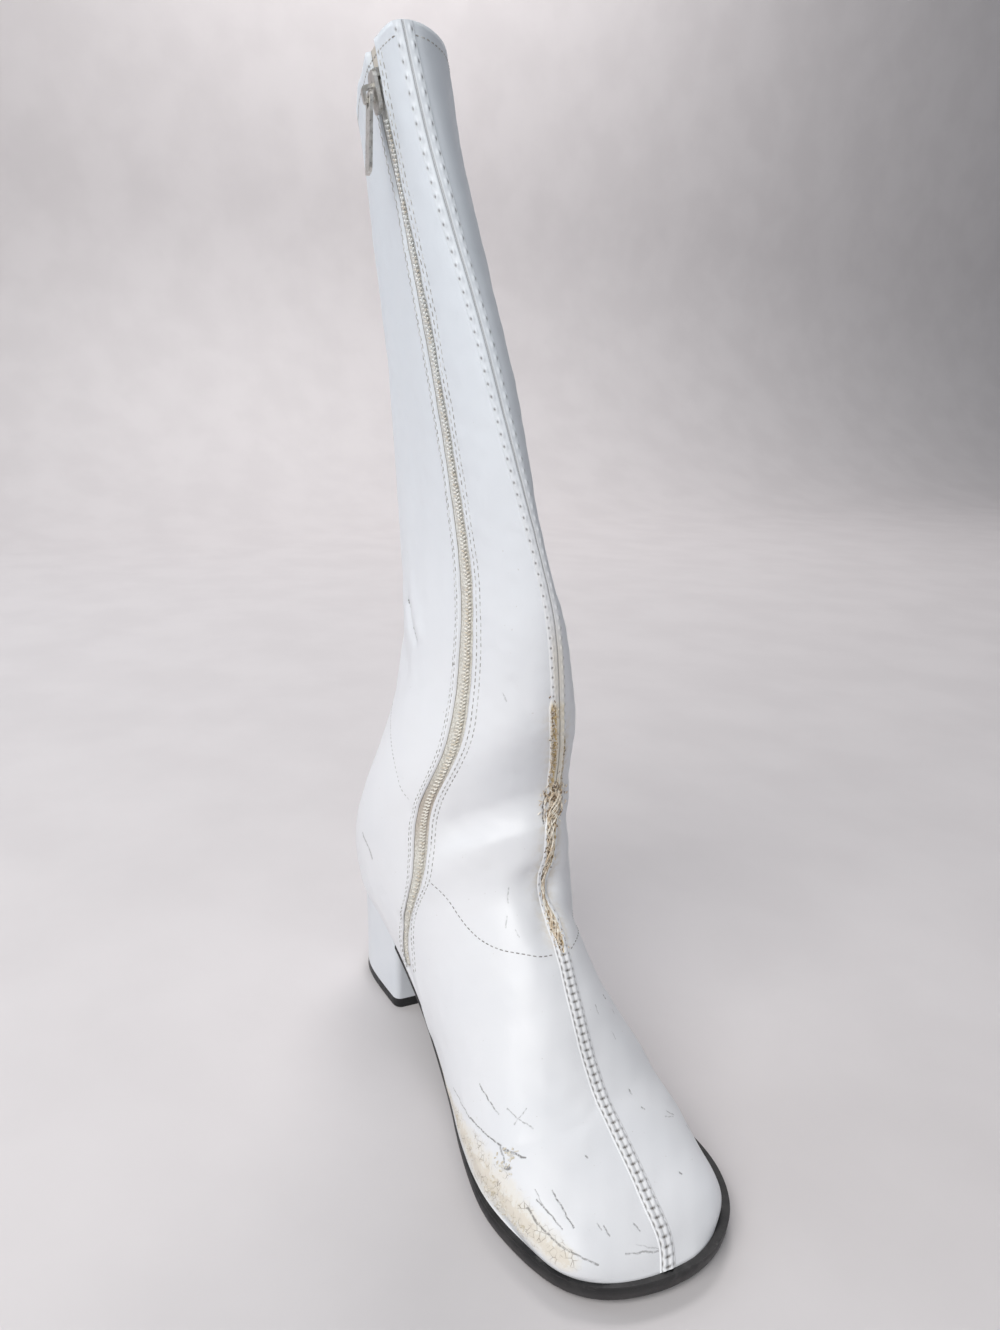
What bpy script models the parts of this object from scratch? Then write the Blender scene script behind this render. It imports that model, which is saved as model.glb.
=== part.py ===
"""A go go boot for the left foot: slack hollow upper, side zip, covered block heel, flat rubber sole.

The boot stands on Z = 0 with its toe along -Y, its outer side along +X and the origin at the
centre of the heel's tread. Inside the functions, across is +X, along runs forward from the heel's
back and height is +Z.
"""
import math
from collections import namedtuple

import bmesh
import bpy
import numpy as np
from mathutils import Matrix, Vector

# Driving sizes, in metres
SOLE_LENGTH = 0.2605
BALL_WIDTH = 0.1075
HEEL_HEIGHT = 0.058
SHAFT_HEIGHT = 0.367
WALL = 0.0018
SOLE_THICKNESS = 0.007
WAIST_THICKNESS = 0.0045
SOLE_LEDGE = 0.005
SOLE_BEVEL = 0.001
SOLE_BEVEL_RISE = 0.0016
TOE_SPRING = 0.0035
BREAST = 0.066
HEEL_CORNER = 0.004
TOP_PIECE_THICKNESS = 0.0055
INSOLE_THICKNESS = 0.0025
INSOLE_MARGIN = 0.0036
INSOLE_TOE_MARGIN = 0.006
SEAM_WIDTH = 0.0064
SEAM_SLOPE = 0.0006
SEAM_RISE = 0.0006
GAP = 0.0003
TRIM = 0.003

# The zip, in metres
ZIP_WIDTH = 0.0115
ZIP_GAP = 0.0005
ZIP_RECESS = 0.0006
TAPE_THICKNESS = 0.0009
COIL_WIDTH = 0.0044
COIL_RISE = 0.0007
ZIP_BELOW_COLLAR = 0.010
SLIDER_WIDTH = 0.0086
SLIDER_LENGTH = 0.0125
SLIDER_PLATE = 0.0014
SLIDER_CORE_WIDTH = 0.0056
SLIDER_POST = 0.003
BAIL_WIDTH = 0.0026
BAIL_BAR = 0.0012
PULL_LENGTH = 0.024
PULL_WIDTH = 0.0078
PULL_THICKNESS = 0.0012
PULL_BAR = 0.0014
PULL_RUNNING_GAP = 0.0005

# Places along the sole, as shares of its length
ARCH_BACK = 0.06
ARCH_BALL = 0.61
SPRING_START = 0.73
THICK_FROM = 0.40
THICK_TO = 0.57
TOE_CORNER = 0.915
SOLE_MIDDLE = 0.75
INSOLE_TAPER_FROM = 0.80
INSOLE_TAPER_TO = 0.97
TREAD_CENTRE = 0.5 * BREAST

# The heel's tread against its seat
TREAD_NARROWING = 0.92
TREAD_SHORTENING = 0.955

# The sole's bevel is at most this share of its width at the toe's tip
MOST_BEVEL = 0.2

# How finely the upper is faceted
RING_STEP = 0.0105
FRONT_CELLS = 6
BACK_CELLS = 5
LATERAL_CELLS = 12
CURVE_POINTS = 49

MEDIAL = -1
LATERAL = 1

# The sole's outline: along in shares of SOLE_LENGTH, sides in shares of BALL_WIDTH, ledges of SOLE_LEDGE
SoleRow = namedtuple("SoleRow", "along medial lateral medial_ledge lateral_ledge")
SOLE_ROWS = [
    SoleRow(0.008, 0.000, 0.000, 0.0, 0.0),
    SoleRow(0.023, 0.150, 0.121, 0.0, 0.0),
    SoleRow(0.054, 0.238, 0.209, 0.0, 0.0),
    SoleRow(0.104, 0.286, 0.260, 0.0, 0.0),
    SoleRow(0.173, 0.296, 0.279, 0.0, 0.0),
    SoleRow(0.269, 0.286, 0.298, 0.0, 0.1),
    SoleRow(0.365, 0.280, 0.326, 0.0, 0.3),
    SoleRow(0.461, 0.298, 0.372, 0.0, 0.5),
    SoleRow(0.557, 0.340, 0.428, 0.0, 0.7),
    SoleRow(0.633, 0.398, 0.474, 0.0, 0.8),
    SoleRow(0.710, 0.450, 0.507, 0.1, 0.9),
    SoleRow(0.787, 0.479, 0.521, 0.3, 1.0),
    SoleRow(0.852, 0.465, 0.498, 0.36, 1.0),
    SoleRow(0.906, 0.433, 0.437, 0.4, 1.0),
    SoleRow(0.948, 0.381, 0.349, 0.4, 0.9),
    SoleRow(0.979, 0.288, 0.233, 0.4, 0.64),
    SoleRow(0.996, 0.158, 0.102, 0.4, 0.44),
    SoleRow(1.000, 0.028, -0.028, 0.4, 0.4),
]

# Sections of the foot, from the toe to the heel's back. The front seam's place and the edge on the
# sole are along in shares of SOLE_LENGTH; rise is the seam above the edge in shares of SHAFT_HEIGHT;
# across, medial and lateral are shares of BALL_WIDTH. Middle is how far down the section is widest,
# fullness its roundness above that, turn the degrees it turns in below, zip the zip's place along
# the medial half.
FootRow = namedtuple(
    "FootRow", "name across along rise edge medial lateral middle fullness turn zip")
FOOT_ROWS = [
    FootRow("toe wall", 0.005, 0.964, 0.023, 0.880, 0.413, 0.391, 0.93, 2.75, 30, 0.60),
    FootRow("toe top", 0.009, 0.934, 0.041, 0.837, 0.441, 0.418, 0.90, 2.70, 35, 0.60),
    FootRow("toe box", 0.017, 0.887, 0.059, 0.791, 0.458, 0.436, 0.87, 2.55, 40, 0.60),
    FootRow("ball front", 0.024, 0.821, 0.083, 0.733, 0.464, 0.462, 0.84, 2.35, 45, 0.61),
    FootRow("ball", 0.031, 0.762, 0.106, 0.672, 0.456, 0.466, 0.81, 2.15, 45, 0.63),
    FootRow("vamp", 0.037, 0.704, 0.151, 0.595, 0.424, 0.446, 0.80, 2.00, 45, 0.68),
    FootRow("low instep", 0.051, 0.644, 0.189, 0.511, 0.388, 0.352, 0.78, 2.00, 45, 0.76),
    FootRow("instep", 0.070, 0.578, 0.213, 0.415, 0.364, 0.305, 0.72, 2.05, 45, 0.86),
    FootRow("high instep", 0.084, 0.531, 0.206, 0.307, 0.352, 0.345, 0.66, 2.10, 50, 0.90),
    FootRow("throat", 0.093, 0.523, 0.198, 0.184, 0.372, 0.350, 0.60, 2.10, 60, 0.60),
    FootRow("front bend", 0.100, 0.521, 0.218, 0.085, 0.392, 0.325, 0.56, 2.10, 75, 0.45),
    FootRow("heel round", 0.120, 0.510, 0.232, 0.025, 0.396, 0.310, 0.55, 2.10, 85, 0.41),
]

# Sections of the shaft, closed at the back seam. Rises are above the heel seat, as shares of
# SHAFT_HEIGHT; the other columns are as for the foot.
ShaftRow = namedtuple(
    "ShaftRow",
    "name across along rise back_across back_along back_rise medial lateral middle fullness zip")
SHAFT_ROWS = [
    ShaftRow("seat", 0.135, 0.500, 0.250, 0.000, 0.008, 0.001, 0.396, 0.300, 0.55, 2.1, 0.385),
    ShaftRow("low counter", 0.130, 0.500, 0.272, -0.050, -0.016, 0.032, 0.400, 0.295, 0.54, 2.1, 0.360),
    ShaftRow("counter", 0.112, 0.510, 0.300, -0.062, -0.020, 0.080, 0.398, 0.293, 0.53, 2.1, 0.325),
    ShaftRow("ankle", 0.060, 0.534, 0.346, -0.024, -0.006, 0.163, 0.350, 0.290, 0.52, 2.1, 0.280),
    ShaftRow("low shaft", 0.008, 0.550, 0.403, 0.024, 0.012, 0.264, 0.272, 0.240, 0.50, 2.1, 0.283),
    ShaftRow("bend", -0.056, 0.562, 0.474, 0.034, 0.015, 0.373, 0.215, 0.190, 0.50, 2.1, 0.285),
    ShaftRow("low calf", -0.145, 0.554, 0.556, 0.005, 0.003, 0.496, 0.158, 0.140, 0.50, 2.1, 0.278),
    ShaftRow("calf", -0.260, 0.530, 0.659, -0.034, -0.017, 0.627, 0.127, 0.170, 0.50, 2.1, 0.263),
    ShaftRow("high calf", -0.388, 0.497, 0.782, -0.070, -0.043, 0.763, 0.115, 0.195, 0.50, 2.1, 0.225),
    ShaftRow("top", -0.518, 0.456, 0.905, -0.105, -0.068, 0.894, 0.110, 0.200, 0.50, 2.1, 0.192),
    ShaftRow("collar", -0.610, 0.438, 1.000, -0.130, -0.086, 0.993, 0.112, 0.205, 0.50, 2.1, 0.176),
]
ZIP_FOOT_ROW = "high instep"


def place(across, along, height):
    """World position of a point given across, along and height."""
    return Vector((across, TREAD_CENTRE - along, height))


def smooth_step(start, end, at):
    """Rises from 0 at start to 1 at end without a corner."""
    x = np.clip((at - start) / (end - start), 0.0, 1.0)
    return x * x * (3.0 - 2.0 * x)


class SmoothCurve:
    """Natural cubic curve through rows of values at rising knots."""

    def __init__(self, knots, values):
        self.knots = np.asarray(knots, float)
        self.shape = np.shape(values)[1:]
        self.values = np.reshape(values, (len(self.knots), -1)).astype(float)
        step = np.diff(self.knots)
        slope = np.diff(self.values, axis=0) / step[:, None]
        count = len(self.knots)
        system = np.eye(count)
        right = np.zeros_like(self.values)
        for i in range(1, count - 1):
            system[i, i - 1:i + 2] = step[i - 1], 2.0 * (step[i - 1] + step[i]), step[i]
            right[i] = 6.0 * (slope[i] - slope[i - 1])
        self.bend = np.linalg.solve(system, right)

    def at(self, places):
        """Values at each of the places."""
        places = np.atleast_1d(np.asarray(places, float))
        k = np.clip(np.searchsorted(self.knots, places, side="right") - 1, 0, len(self.knots) - 2)
        step = (self.knots[k + 1] - self.knots[k])[:, None]
        after = (places - self.knots[k])[:, None]
        before = step - after
        value = (self.values[k] * before + self.values[k + 1] * after) / step
        value += self.bend[k] * (before ** 3 / step - before * step) / 6.0
        value += self.bend[k + 1] * (after ** 3 / step - after * step) / 6.0
        return value.reshape((len(places),) + self.shape)


def plan_curve(side, inset_to):
    """One side's outline from the heel's back to the toe tip, as dense across and along arrays.

    inset_to is "outline" for the sole's own edge and "ledge" for the line where the upper stands.
    """
    medial = [(-row.medial * BALL_WIDTH, row.along * SOLE_LENGTH) for row in SOLE_ROWS]
    lateral = [(row.lateral * BALL_WIDTH, row.along * SOLE_LENGTH) for row in SOLE_ROWS]
    near, far = (medial, lateral) if side == MEDIAL else (lateral, medial)
    loop = np.array(far[3:0:-1] + near + far[-2:-5:-1])
    knots = np.append(0.0, np.cumsum(np.sqrt(np.linalg.norm(np.diff(loop, axis=0), axis=1))))
    own = knots[3:3 + len(near)]
    at = np.linspace(own[0], own[-1], 40 * len(near))
    points = SmoothCurve(knots, loop).at(at)
    if inset_to == "ledge":
        column = [row.medial_ledge if side == MEDIAL else row.lateral_ledge for row in SOLE_ROWS]
        points = inset(points, side, SOLE_LEDGE * np.interp(at, own, column))
    return points


def inset(points, side, distance):
    """Moves a side's outline inward by a distance that may vary along it."""
    way = np.gradient(points, axis=0)
    way /= np.linalg.norm(way, axis=1)[:, None]
    inward = np.column_stack((-way[:, 1], way[:, 0])) * side
    return points + inward * np.reshape(distance, (-1, 1))


OUTLINE = {side: plan_curve(side, "outline") for side in (MEDIAL, LATERAL)}
FEATHER = {side: plan_curve(side, "ledge") for side in (MEDIAL, LATERAL)}


def across_at(curve, along):
    """Across position of a side's curve at a place along the sole."""
    return float(np.interp(along, curve[:, 1], curve[:, 0]))


def nearest(curve, point):
    """The curve's point nearest to another point in plan."""
    return curve[np.argmin(np.linalg.norm(curve - point, axis=1))]


def seat_height(along):
    """Height of the sole's and heel's top, which the upper stands on."""
    share = along / SOLE_LENGTH
    arch = 1.0 - smooth_step(ARCH_BACK, ARCH_BALL, share)
    spring = np.clip((share - SPRING_START) / (1.0 - SPRING_START), 0.0, 1.0) ** 2
    return SOLE_THICKNESS + (HEEL_HEIGHT - SOLE_THICKNESS) * arch + TOE_SPRING * spring


def untrimmed_edge(along):
    """Height where the upper's skin ends, before it is trimmed to stand on the sole."""
    return seat_height(along) + GAP - TRIM


def sole_thickness(along):
    """Thickness of the outsole, thinner at the waist."""
    full = smooth_step(THICK_FROM, THICK_TO, along / SOLE_LENGTH)
    return WAIST_THICKNESS + (SOLE_THICKNESS - WAIST_THICKNESS) * full


def evenly(points, count):
    """The same curve with its points evenly spaced."""
    run = np.append(0.0, np.cumsum(np.linalg.norm(np.diff(points, axis=0), axis=1)))
    at = np.linspace(0.0, run[-1], count)
    return np.column_stack([np.interp(at, run, points[:, k]) for k in range(3)])


def half_section(seam, lower, centre, side, width, row, turn):
    """Curve from the seam round one side to the lower edge or the back seam."""
    axis = centre - seam
    forward = Vector((axis[0], axis[1], 0.0)).normalized()
    sideways = np.array((-forward.y, forward.x, 0.0))
    unit = axis / np.linalg.norm(axis)
    sideways -= unit * np.dot(sideways, unit)
    sideways /= np.linalg.norm(sideways)
    middle = seam + axis * row.middle
    widest = middle + sideways * side * width
    angle = np.linspace(math.pi / 2, 0.0, 60)[:, None]
    power = 2.0 / row.fullness
    upper = middle + np.sin(angle) ** power * (seam - middle) + np.cos(angle) ** power * (widest - middle)
    down = np.dot(lower - widest, unit) * unit
    inward = lower - widest - down
    last = math.radians(turn)
    angle = np.linspace(0.0, last, 40)[1:, None]
    under = widest + np.sin(angle) / math.sin(last) * down
    under = under + (1.0 - np.cos(angle)) / (1.0 - math.cos(last)) * inward
    return evenly(np.vstack((upper, under)), CURVE_POINTS)


def toe_edge(side):
    """The featherline round the toe, from its tip to the corner where the sections start."""
    corner = TOE_CORNER * SOLE_LENGTH
    curve = FEATHER[side][FEATHER[side][:, 1] >= corner][::-1]
    heights = untrimmed_edge(curve[:, 1])
    return evenly(np.column_stack((curve, heights)), CURVE_POINTS)


def foot_sections(row):
    """Medial and lateral curves of one section of the foot."""
    edge = row.edge * SOLE_LENGTH
    floor = untrimmed_edge(edge)
    ends = {side: np.array((across_at(FEATHER[side], edge), edge, floor)) for side in FEATHER}
    seam = np.array((row.across * BALL_WIDTH, row.along * SOLE_LENGTH,
                     floor + TRIM + row.rise * SHAFT_HEIGHT))
    centre = 0.5 * (ends[MEDIAL] + ends[LATERAL])
    widths = {MEDIAL: row.medial * BALL_WIDTH, LATERAL: row.lateral * BALL_WIDTH}
    return [half_section(seam, ends[side], centre, side, widths[side], row, row.turn)
            for side in (MEDIAL, LATERAL)]


def shaft_sections(row):
    """Medial and lateral curves of one closed section of the shaft."""
    base = HEEL_HEIGHT + GAP
    seam = np.array((row.across * BALL_WIDTH, row.along * SOLE_LENGTH, base + row.rise * SHAFT_HEIGHT))
    back = np.array((row.back_across * BALL_WIDTH, row.back_along * SOLE_LENGTH,
                     base + row.back_rise * SHAFT_HEIGHT))
    if row.name == "seat":
        back[2] = untrimmed_edge(back[1])
    widths = {MEDIAL: row.medial * BALL_WIDTH, LATERAL: row.lateral * BALL_WIDTH}
    return [half_section(seam, back, back, side, widths[side], row, 90.0)
            for side in (MEDIAL, LATERAL)]


class UpperSurface:
    """The upper's outer surface, by run from the toe edge to the collar and share round each half."""

    def __init__(self):
        curves = [[toe_edge(side) for side in (MEDIAL, LATERAL)]]
        curves += [foot_sections(row) for row in FOOT_ROWS]
        curves += [shaft_sections(row) for row in SHAFT_ROWS]
        curves = np.array(curves)
        steps = np.sqrt(np.mean(np.sum(np.diff(curves, axis=0) ** 2, axis=-1), axis=(1, 2)))
        self.runs = np.append(0.0, np.cumsum(steps))
        self.skin = SmoothCurve(self.runs, curves)
        names = ["toe edge"] + [row.name for row in FOOT_ROWS + SHAFT_ROWS]
        self.run_of = dict(zip(names, self.runs))
        places = [FOOT_ROWS[0].zip] + [row.zip for row in FOOT_ROWS + SHAFT_ROWS]
        self.zip_place = SmoothCurve(self.runs, np.array(places)[:, None])

    def curves(self, run):
        """Both halves at a run, kept on the sole along the foot and joined at the shaft's back seam."""
        pair = self.skin.at(run)[0]
        near_end = np.linspace(0.0, 1.0, CURVE_POINTS)[:, None] ** 4
        if run < self.run_of["seat"]:
            for half, side in zip(pair, (MEDIAL, LATERAL)):
                foot = nearest(FEATHER[side], half[-1, :2])
                half += near_end * (np.append(foot, untrimmed_edge(foot[1])) - half[-1])
        else:
            apart = 0.5 * (pair[1, -1] - pair[0, -1])
            pair[0] += near_end * apart
            pair[1] -= near_end * apart
        return pair

    def lengths(self, run):
        """Length of each half at a run."""
        pair = self.curves(run)
        return np.sum(np.linalg.norm(np.diff(pair, axis=1), axis=2), axis=1)

    def points(self, run, side, shares):
        """Points of one half at a run."""
        half = self.curves(run)[0 if side == MEDIAL else 1]
        even = np.linspace(0.0, 1.0, CURVE_POINTS)
        return np.column_stack([np.interp(shares, even, half[:, k]) for k in range(3)])

    def normals(self, run, side, shares):
        """Outward unit normals of one half at a run."""
        small_run = 0.0005
        small_share = 0.01
        shares = np.asarray(shares, float)
        low_run = max(run - small_run, 0.0)
        high_run = min(run + small_run, self.runs[-1])
        up = self.points(high_run, side, shares) - self.points(low_run, side, shares)
        more = np.clip(shares + small_share, 0.0, 1.0)
        less = np.clip(shares - small_share, 0.0, 1.0)
        out = self.points(run, side, more) - self.points(run, side, less)
        normal = np.cross(up, out) * side
        return normal / np.linalg.norm(normal, axis=1)[:, None]


SURFACE = UpperSurface()
ZIP_LOW_RUN = SURFACE.run_of[ZIP_FOOT_ROW]
COLLAR_RUN = SURFACE.runs[-1]


def zip_edges(run):
    """Shares of the medial half where the upper's slot starts and ends."""
    middle = float(SURFACE.zip_place.at(run)[0, 0])
    half = 0.5 * ZIP_WIDTH / SURFACE.lengths(run)[0]
    return middle - half, middle + half


def ring_runs():
    """Runs of the upper's rings, with one at every named section."""
    runs = [0.0]
    for start, end in zip(SURFACE.runs[:-1], SURFACE.runs[1:]):
        cells = max(1, math.ceil((end - start) / RING_STEP))
        runs += [start + (end - start) * (k + 1) / cells for k in range(cells)]
    return runs


def ring_shares(run):
    """Column places round both halves, and which of them lie on the raised seam."""
    medial_length, lateral_length = SURFACE.lengths(run)
    half_seam = 0.5 * SEAM_WIDTH
    front, back = zip_edges(run)
    top = half_seam / medial_length
    foot = (half_seam + SEAM_SLOPE) / medial_length
    medial = [top, foot] + list(np.linspace(foot, front, FRONT_CELLS + 1)[1:])
    medial += list(np.linspace(back, 1.0, BACK_CELLS + 1))
    top = half_seam / lateral_length
    foot = (half_seam + SEAM_SLOPE) / lateral_length
    lateral = [0.0, top] + list(np.linspace(foot, 1.0, LATERAL_CELLS + 1))
    return medial, lateral


def upper_ring(run):
    """Points of one ring from the medial edge over the seam to the lateral edge."""
    medial, lateral = ring_shares(run)
    left = SURFACE.points(run, MEDIAL, medial)
    left[0] += SEAM_RISE * SURFACE.normals(run, MEDIAL, medial[:1])[0]
    right = SURFACE.points(run, LATERAL, lateral)
    right[:2] += SEAM_RISE * SURFACE.normals(run, LATERAL, lateral[:2])
    return list(left[::-1]) + list(right)


def new_object(name, data, collection):
    """Adds an object that holds the given data."""
    made = bpy.data.objects.new(name, data)
    collection.objects.link(made)
    return made


def add_material(made, name, colour, roughness, metallic=0.0):
    """Gives an object its own principled material."""
    material = bpy.data.materials.new(name)
    material.use_nodes = True
    shader = material.node_tree.nodes["Principled BSDF"]
    shader.inputs["Base Color"].default_value = (*colour, 1.0)
    shader.inputs["Roughness"].default_value = roughness
    shader.inputs["Metallic"].default_value = metallic
    made.data.materials.clear()
    made.data.materials.append(material)


def finish_mesh(mesh, made, sharp_degrees):
    """Writes a bmesh into an object and shades it smooth up to an angle."""
    mesh.to_mesh(made.data)
    mesh.free()
    made.data.shade_smooth()
    made.data.set_sharp_from_angle(angle=math.radians(sharp_degrees))


def loft_solid(name, sections, collection, sharp_degrees=35.0):
    """Closed solid through sections that have the same number of points each."""
    mesh = bmesh.new()
    rings = [[mesh.verts.new(point) for point in section] for section in sections]
    count = len(rings[0])
    for low, high in zip(rings[:-1], rings[1:]):
        for k in range(count):
            after = (k + 1) % count
            mesh.faces.new((low[k], low[after], high[after], high[k]))
    mesh.faces.new(rings[0][::-1])
    mesh.faces.new(rings[-1])
    bmesh.ops.recalc_face_normals(mesh, faces=mesh.faces)
    made = new_object(name, bpy.data.meshes.new(name), collection)
    finish_mesh(mesh, made, sharp_degrees)
    return made


def build_trimmer(collection):
    """Cutter under the sole's and heel's top, which trims the upper to stand on them."""
    reach = BALL_WIDTH
    depth = 10.0 * TRIM
    sections = []
    for along in np.linspace(-0.1 * SOLE_LENGTH, 1.1 * SOLE_LENGTH, 61):
        top = seat_height(along) + GAP
        profile = [(-reach, top), (-reach, top - depth), (reach, top - depth), (reach, top)]
        sections.append([place(across, along, height) for across, height in profile])
    made = loft_solid("upper_trimmer", sections, collection)
    made.hide_render = True
    made.display_type = "WIRE"
    return made


def build_upper(collection, trimmer):
    """Hollow upper: a lofted skin with a slot for the zip, a wall from Solidify and a trimmed edge."""
    runs = ring_runs()
    mesh = bmesh.new()
    rings = [[mesh.verts.new(place(*point)) for point in upper_ring(run)] for run in runs]
    slot = BACK_CELLS
    for low, high, run in zip(rings[:-1], rings[1:], runs[:-1]):
        for k in range(len(low) - 1):
            if k == slot and run > ZIP_LOW_RUN - 0.5 * RING_STEP:
                continue
            mesh.faces.new((low[k], low[k + 1], high[k + 1], high[k]))
    back = [ring[end] for ring, run in zip(rings, runs) for end in (0, -1)
            if run >= SURFACE.run_of["seat"] - 0.1 * RING_STEP]
    bmesh.ops.remove_doubles(mesh, verts=back, dist=0.00001)
    made = new_object("upper", bpy.data.meshes.new("upper"), collection)
    finish_mesh(mesh, made, 40.0)
    wall = made.modifiers.new("wall", "SOLIDIFY")
    wall.thickness = WALL
    wall.offset = -1.0
    trim = made.modifiers.new("trim", "BOOLEAN")
    trim.operation = "DIFFERENCE"
    trim.object = trimmer
    add_material(made, "white coated upper", (0.80, 0.82, 0.85), 0.34)


def round_end_places(start, end, count):
    """Places from a round end at start, close together there, to a plain end."""
    return [start + (end - start) * (1.0 - math.cos(0.5 * math.pi * k / count))
            for k in range(1, count + 1)]


def build_outsole(collection):
    """Outsole from the heel's breast to the toe, with its arch, toe spring and bevelled lower edge."""
    start = BREAST + GAP
    middle = SOLE_MIDDLE * SOLE_LENGTH
    places = list(np.linspace(start, middle, 15)[:-1])
    places += round_end_places(SOLE_LENGTH, middle, 14)[::-1]
    sections = []
    for along in places:
        top = seat_height(along)
        bottom = top - sole_thickness(along)
        medial = across_at(OUTLINE[MEDIAL], along)
        lateral = across_at(OUTLINE[LATERAL], along)
        shoulder = bottom + SOLE_BEVEL_RISE
        inner = min(SOLE_BEVEL, MOST_BEVEL * (lateral - medial))
        profile = [(medial, top), (medial, shoulder), (medial + inner, bottom),
                   (lateral - inner, bottom), (lateral, shoulder), (lateral, top)]
        sections.append([place(across, along, height) for across, height in profile])
    made = loft_solid("outsole", sections, collection)
    add_material(made, "black rubber", (0.012, 0.012, 0.013), 0.55)


def corner_inset(along):
    """How far the heel's sides turn in at the rounded corners of its breast."""
    past = max(0.0, along - (BREAST - HEEL_CORNER))
    return HEEL_CORNER - math.sqrt(max(0.0, HEEL_CORNER ** 2 - past ** 2))


def heel_stations():
    """Places along the heel, closer together at its round back and at the breast's corners."""
    back = SOLE_ROWS[0].along * SOLE_LENGTH
    places = round_end_places(back, BREAST - HEEL_CORNER, 13)
    return places + [BREAST - HEEL_CORNER * share for share in (0.45, 0.12, 0.0)]


def seat_outline(along):
    """Medial and lateral sides of the heel's seat."""
    turn = corner_inset(along)
    return across_at(FEATHER[MEDIAL], along) + turn, across_at(FEATHER[LATERAL], along) - turn


def tread_point(across, along):
    """Where a point of the heel's seat comes down on its tread."""
    return across * TREAD_NARROWING, BREAST - (BREAST - along) * TREAD_SHORTENING


def build_heel_block(collection):
    """Covered heel block from its seat down to the top piece."""
    bottom = TOP_PIECE_THICKNESS + GAP
    sections = []
    for along in heel_stations():
        medial, lateral = seat_outline(along)
        top = seat_height(along)
        low_medial = tread_point(medial, along)
        low_lateral = tread_point(lateral, along)
        sections.append([place(medial, along, top), place(*low_medial, bottom),
                         place(*low_lateral, bottom), place(lateral, along, top)])
    made = loft_solid("heel_block", sections, collection)
    add_material(made, "white covered heel", (0.74, 0.77, 0.81), 0.38)


def build_top_piece(collection):
    """Black tread piece under the heel block, flat on the floor."""
    sections = []
    for along in heel_stations():
        medial, lateral = seat_outline(along)
        corners = [tread_point(medial, along), tread_point(lateral, along)]
        sections.append([place(*corners[0], TOP_PIECE_THICKNESS), place(*corners[0], 0.0),
                         place(*corners[1], 0.0), place(*corners[1], TOP_PIECE_THICKNESS)])
    made = loft_solid("heel_top_piece", sections, collection)
    add_material(made, "black top piece", (0.014, 0.014, 0.015), 0.5)


def insole_curve(side):
    """The insole's side, inside the upper's wall and shorter at the sloping toe."""
    curve = FEATHER[side]
    toe = smooth_step(INSOLE_TAPER_FROM, INSOLE_TAPER_TO, curve[:, 1] / SOLE_LENGTH)
    return inset(curve, side, WALL + GAP + INSOLE_MARGIN + INSOLE_TOE_MARGIN * toe)


def build_insole(collection):
    """Insole sheet on the outsole and the heel seat."""
    curves = {side: insole_curve(side) for side in (MEDIAL, LATERAL)}
    back = max(curve[:, 1].min() for curve in curves.values())
    tip = min(curve[:, 1].max() for curve in curves.values())
    half = 0.5 * (back + tip)
    places = round_end_places(back, half, 14) + round_end_places(tip, half, 14)[-2::-1]
    sections = []
    for along in places:
        low = seat_height(along) + GAP
        high = low + INSOLE_THICKNESS
        medial = across_at(curves[MEDIAL], along)
        lateral = across_at(curves[LATERAL], along)
        profile = [(medial, high), (medial, low), (lateral, low), (lateral, high)]
        sections.append([place(across, along, height) for across, height in profile])
    made = loft_solid("insole", sections, collection)
    add_material(made, "insole lining", (0.62, 0.58, 0.52), 0.8)


def strip_section(run):
    """Cross-section of the closed zip between the slot's two edges, with the coil's ridge."""
    front, back = zip_edges(run)
    gap = ZIP_GAP / SURFACE.lengths(run)[0]
    shares = [front + gap, 0.5 * (front + back), back - gap]
    points = SURFACE.points(run, MEDIAL, shares)
    normals = SURFACE.normals(run, MEDIAL, shares)
    face = points - ZIP_RECESS * normals
    under = points - (ZIP_RECESS + TAPE_THICKNESS) * normals
    way = face[2] - face[0]
    way /= np.linalg.norm(way)
    foot = 0.5 * COIL_WIDTH * way
    crest = 0.4 * COIL_WIDTH * way
    rise = COIL_RISE * normals[1]
    outline = [face[0], face[1] - foot, face[1] - crest + rise, face[1] + crest + rise, face[1] + foot,
               face[2], under[2], under[1], under[0]]
    return [place(*point) for point in outline]


def build_zip_strip(collection):
    """Tape and closed coil in the upper's slot, up to the slider near the collar."""
    top = COLLAR_RUN - ZIP_BELOW_COLLAR
    runs = [ZIP_LOW_RUN + ZIP_GAP]
    runs += [run for run in ring_runs() if ZIP_LOW_RUN + 2 * ZIP_GAP < run < top - 2 * ZIP_GAP]
    runs.append(top)
    made = loft_solid("zip_strip", [strip_section(run) for run in runs], collection, 30.0)
    add_material(made, "zip tape and coil", (0.72, 0.69, 0.60), 0.6)


def slider_frame():
    """Matrix at the zip strip's top end: X up the strip, Y outward, Z across."""
    run = COLLAR_RUN - ZIP_BELOW_COLLAR
    share = [float(SURFACE.zip_place.at(run)[0, 0])]
    origin = place(*SURFACE.points(run, MEDIAL, share)[0])
    below = place(*SURFACE.points(run - SLIDER_LENGTH, MEDIAL, share)[0])
    up = (origin - below).normalized()
    normal = SURFACE.normals(run - 0.5 * SLIDER_LENGTH, MEDIAL, share)[0]
    outward = Vector((normal[0], -normal[1], normal[2]))
    outward = (outward - up * outward.dot(up)).normalized()
    across = up.cross(outward)
    matrix = Matrix((up, outward, across)).transposed().to_4x4()
    matrix.translation = origin
    return matrix


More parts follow.
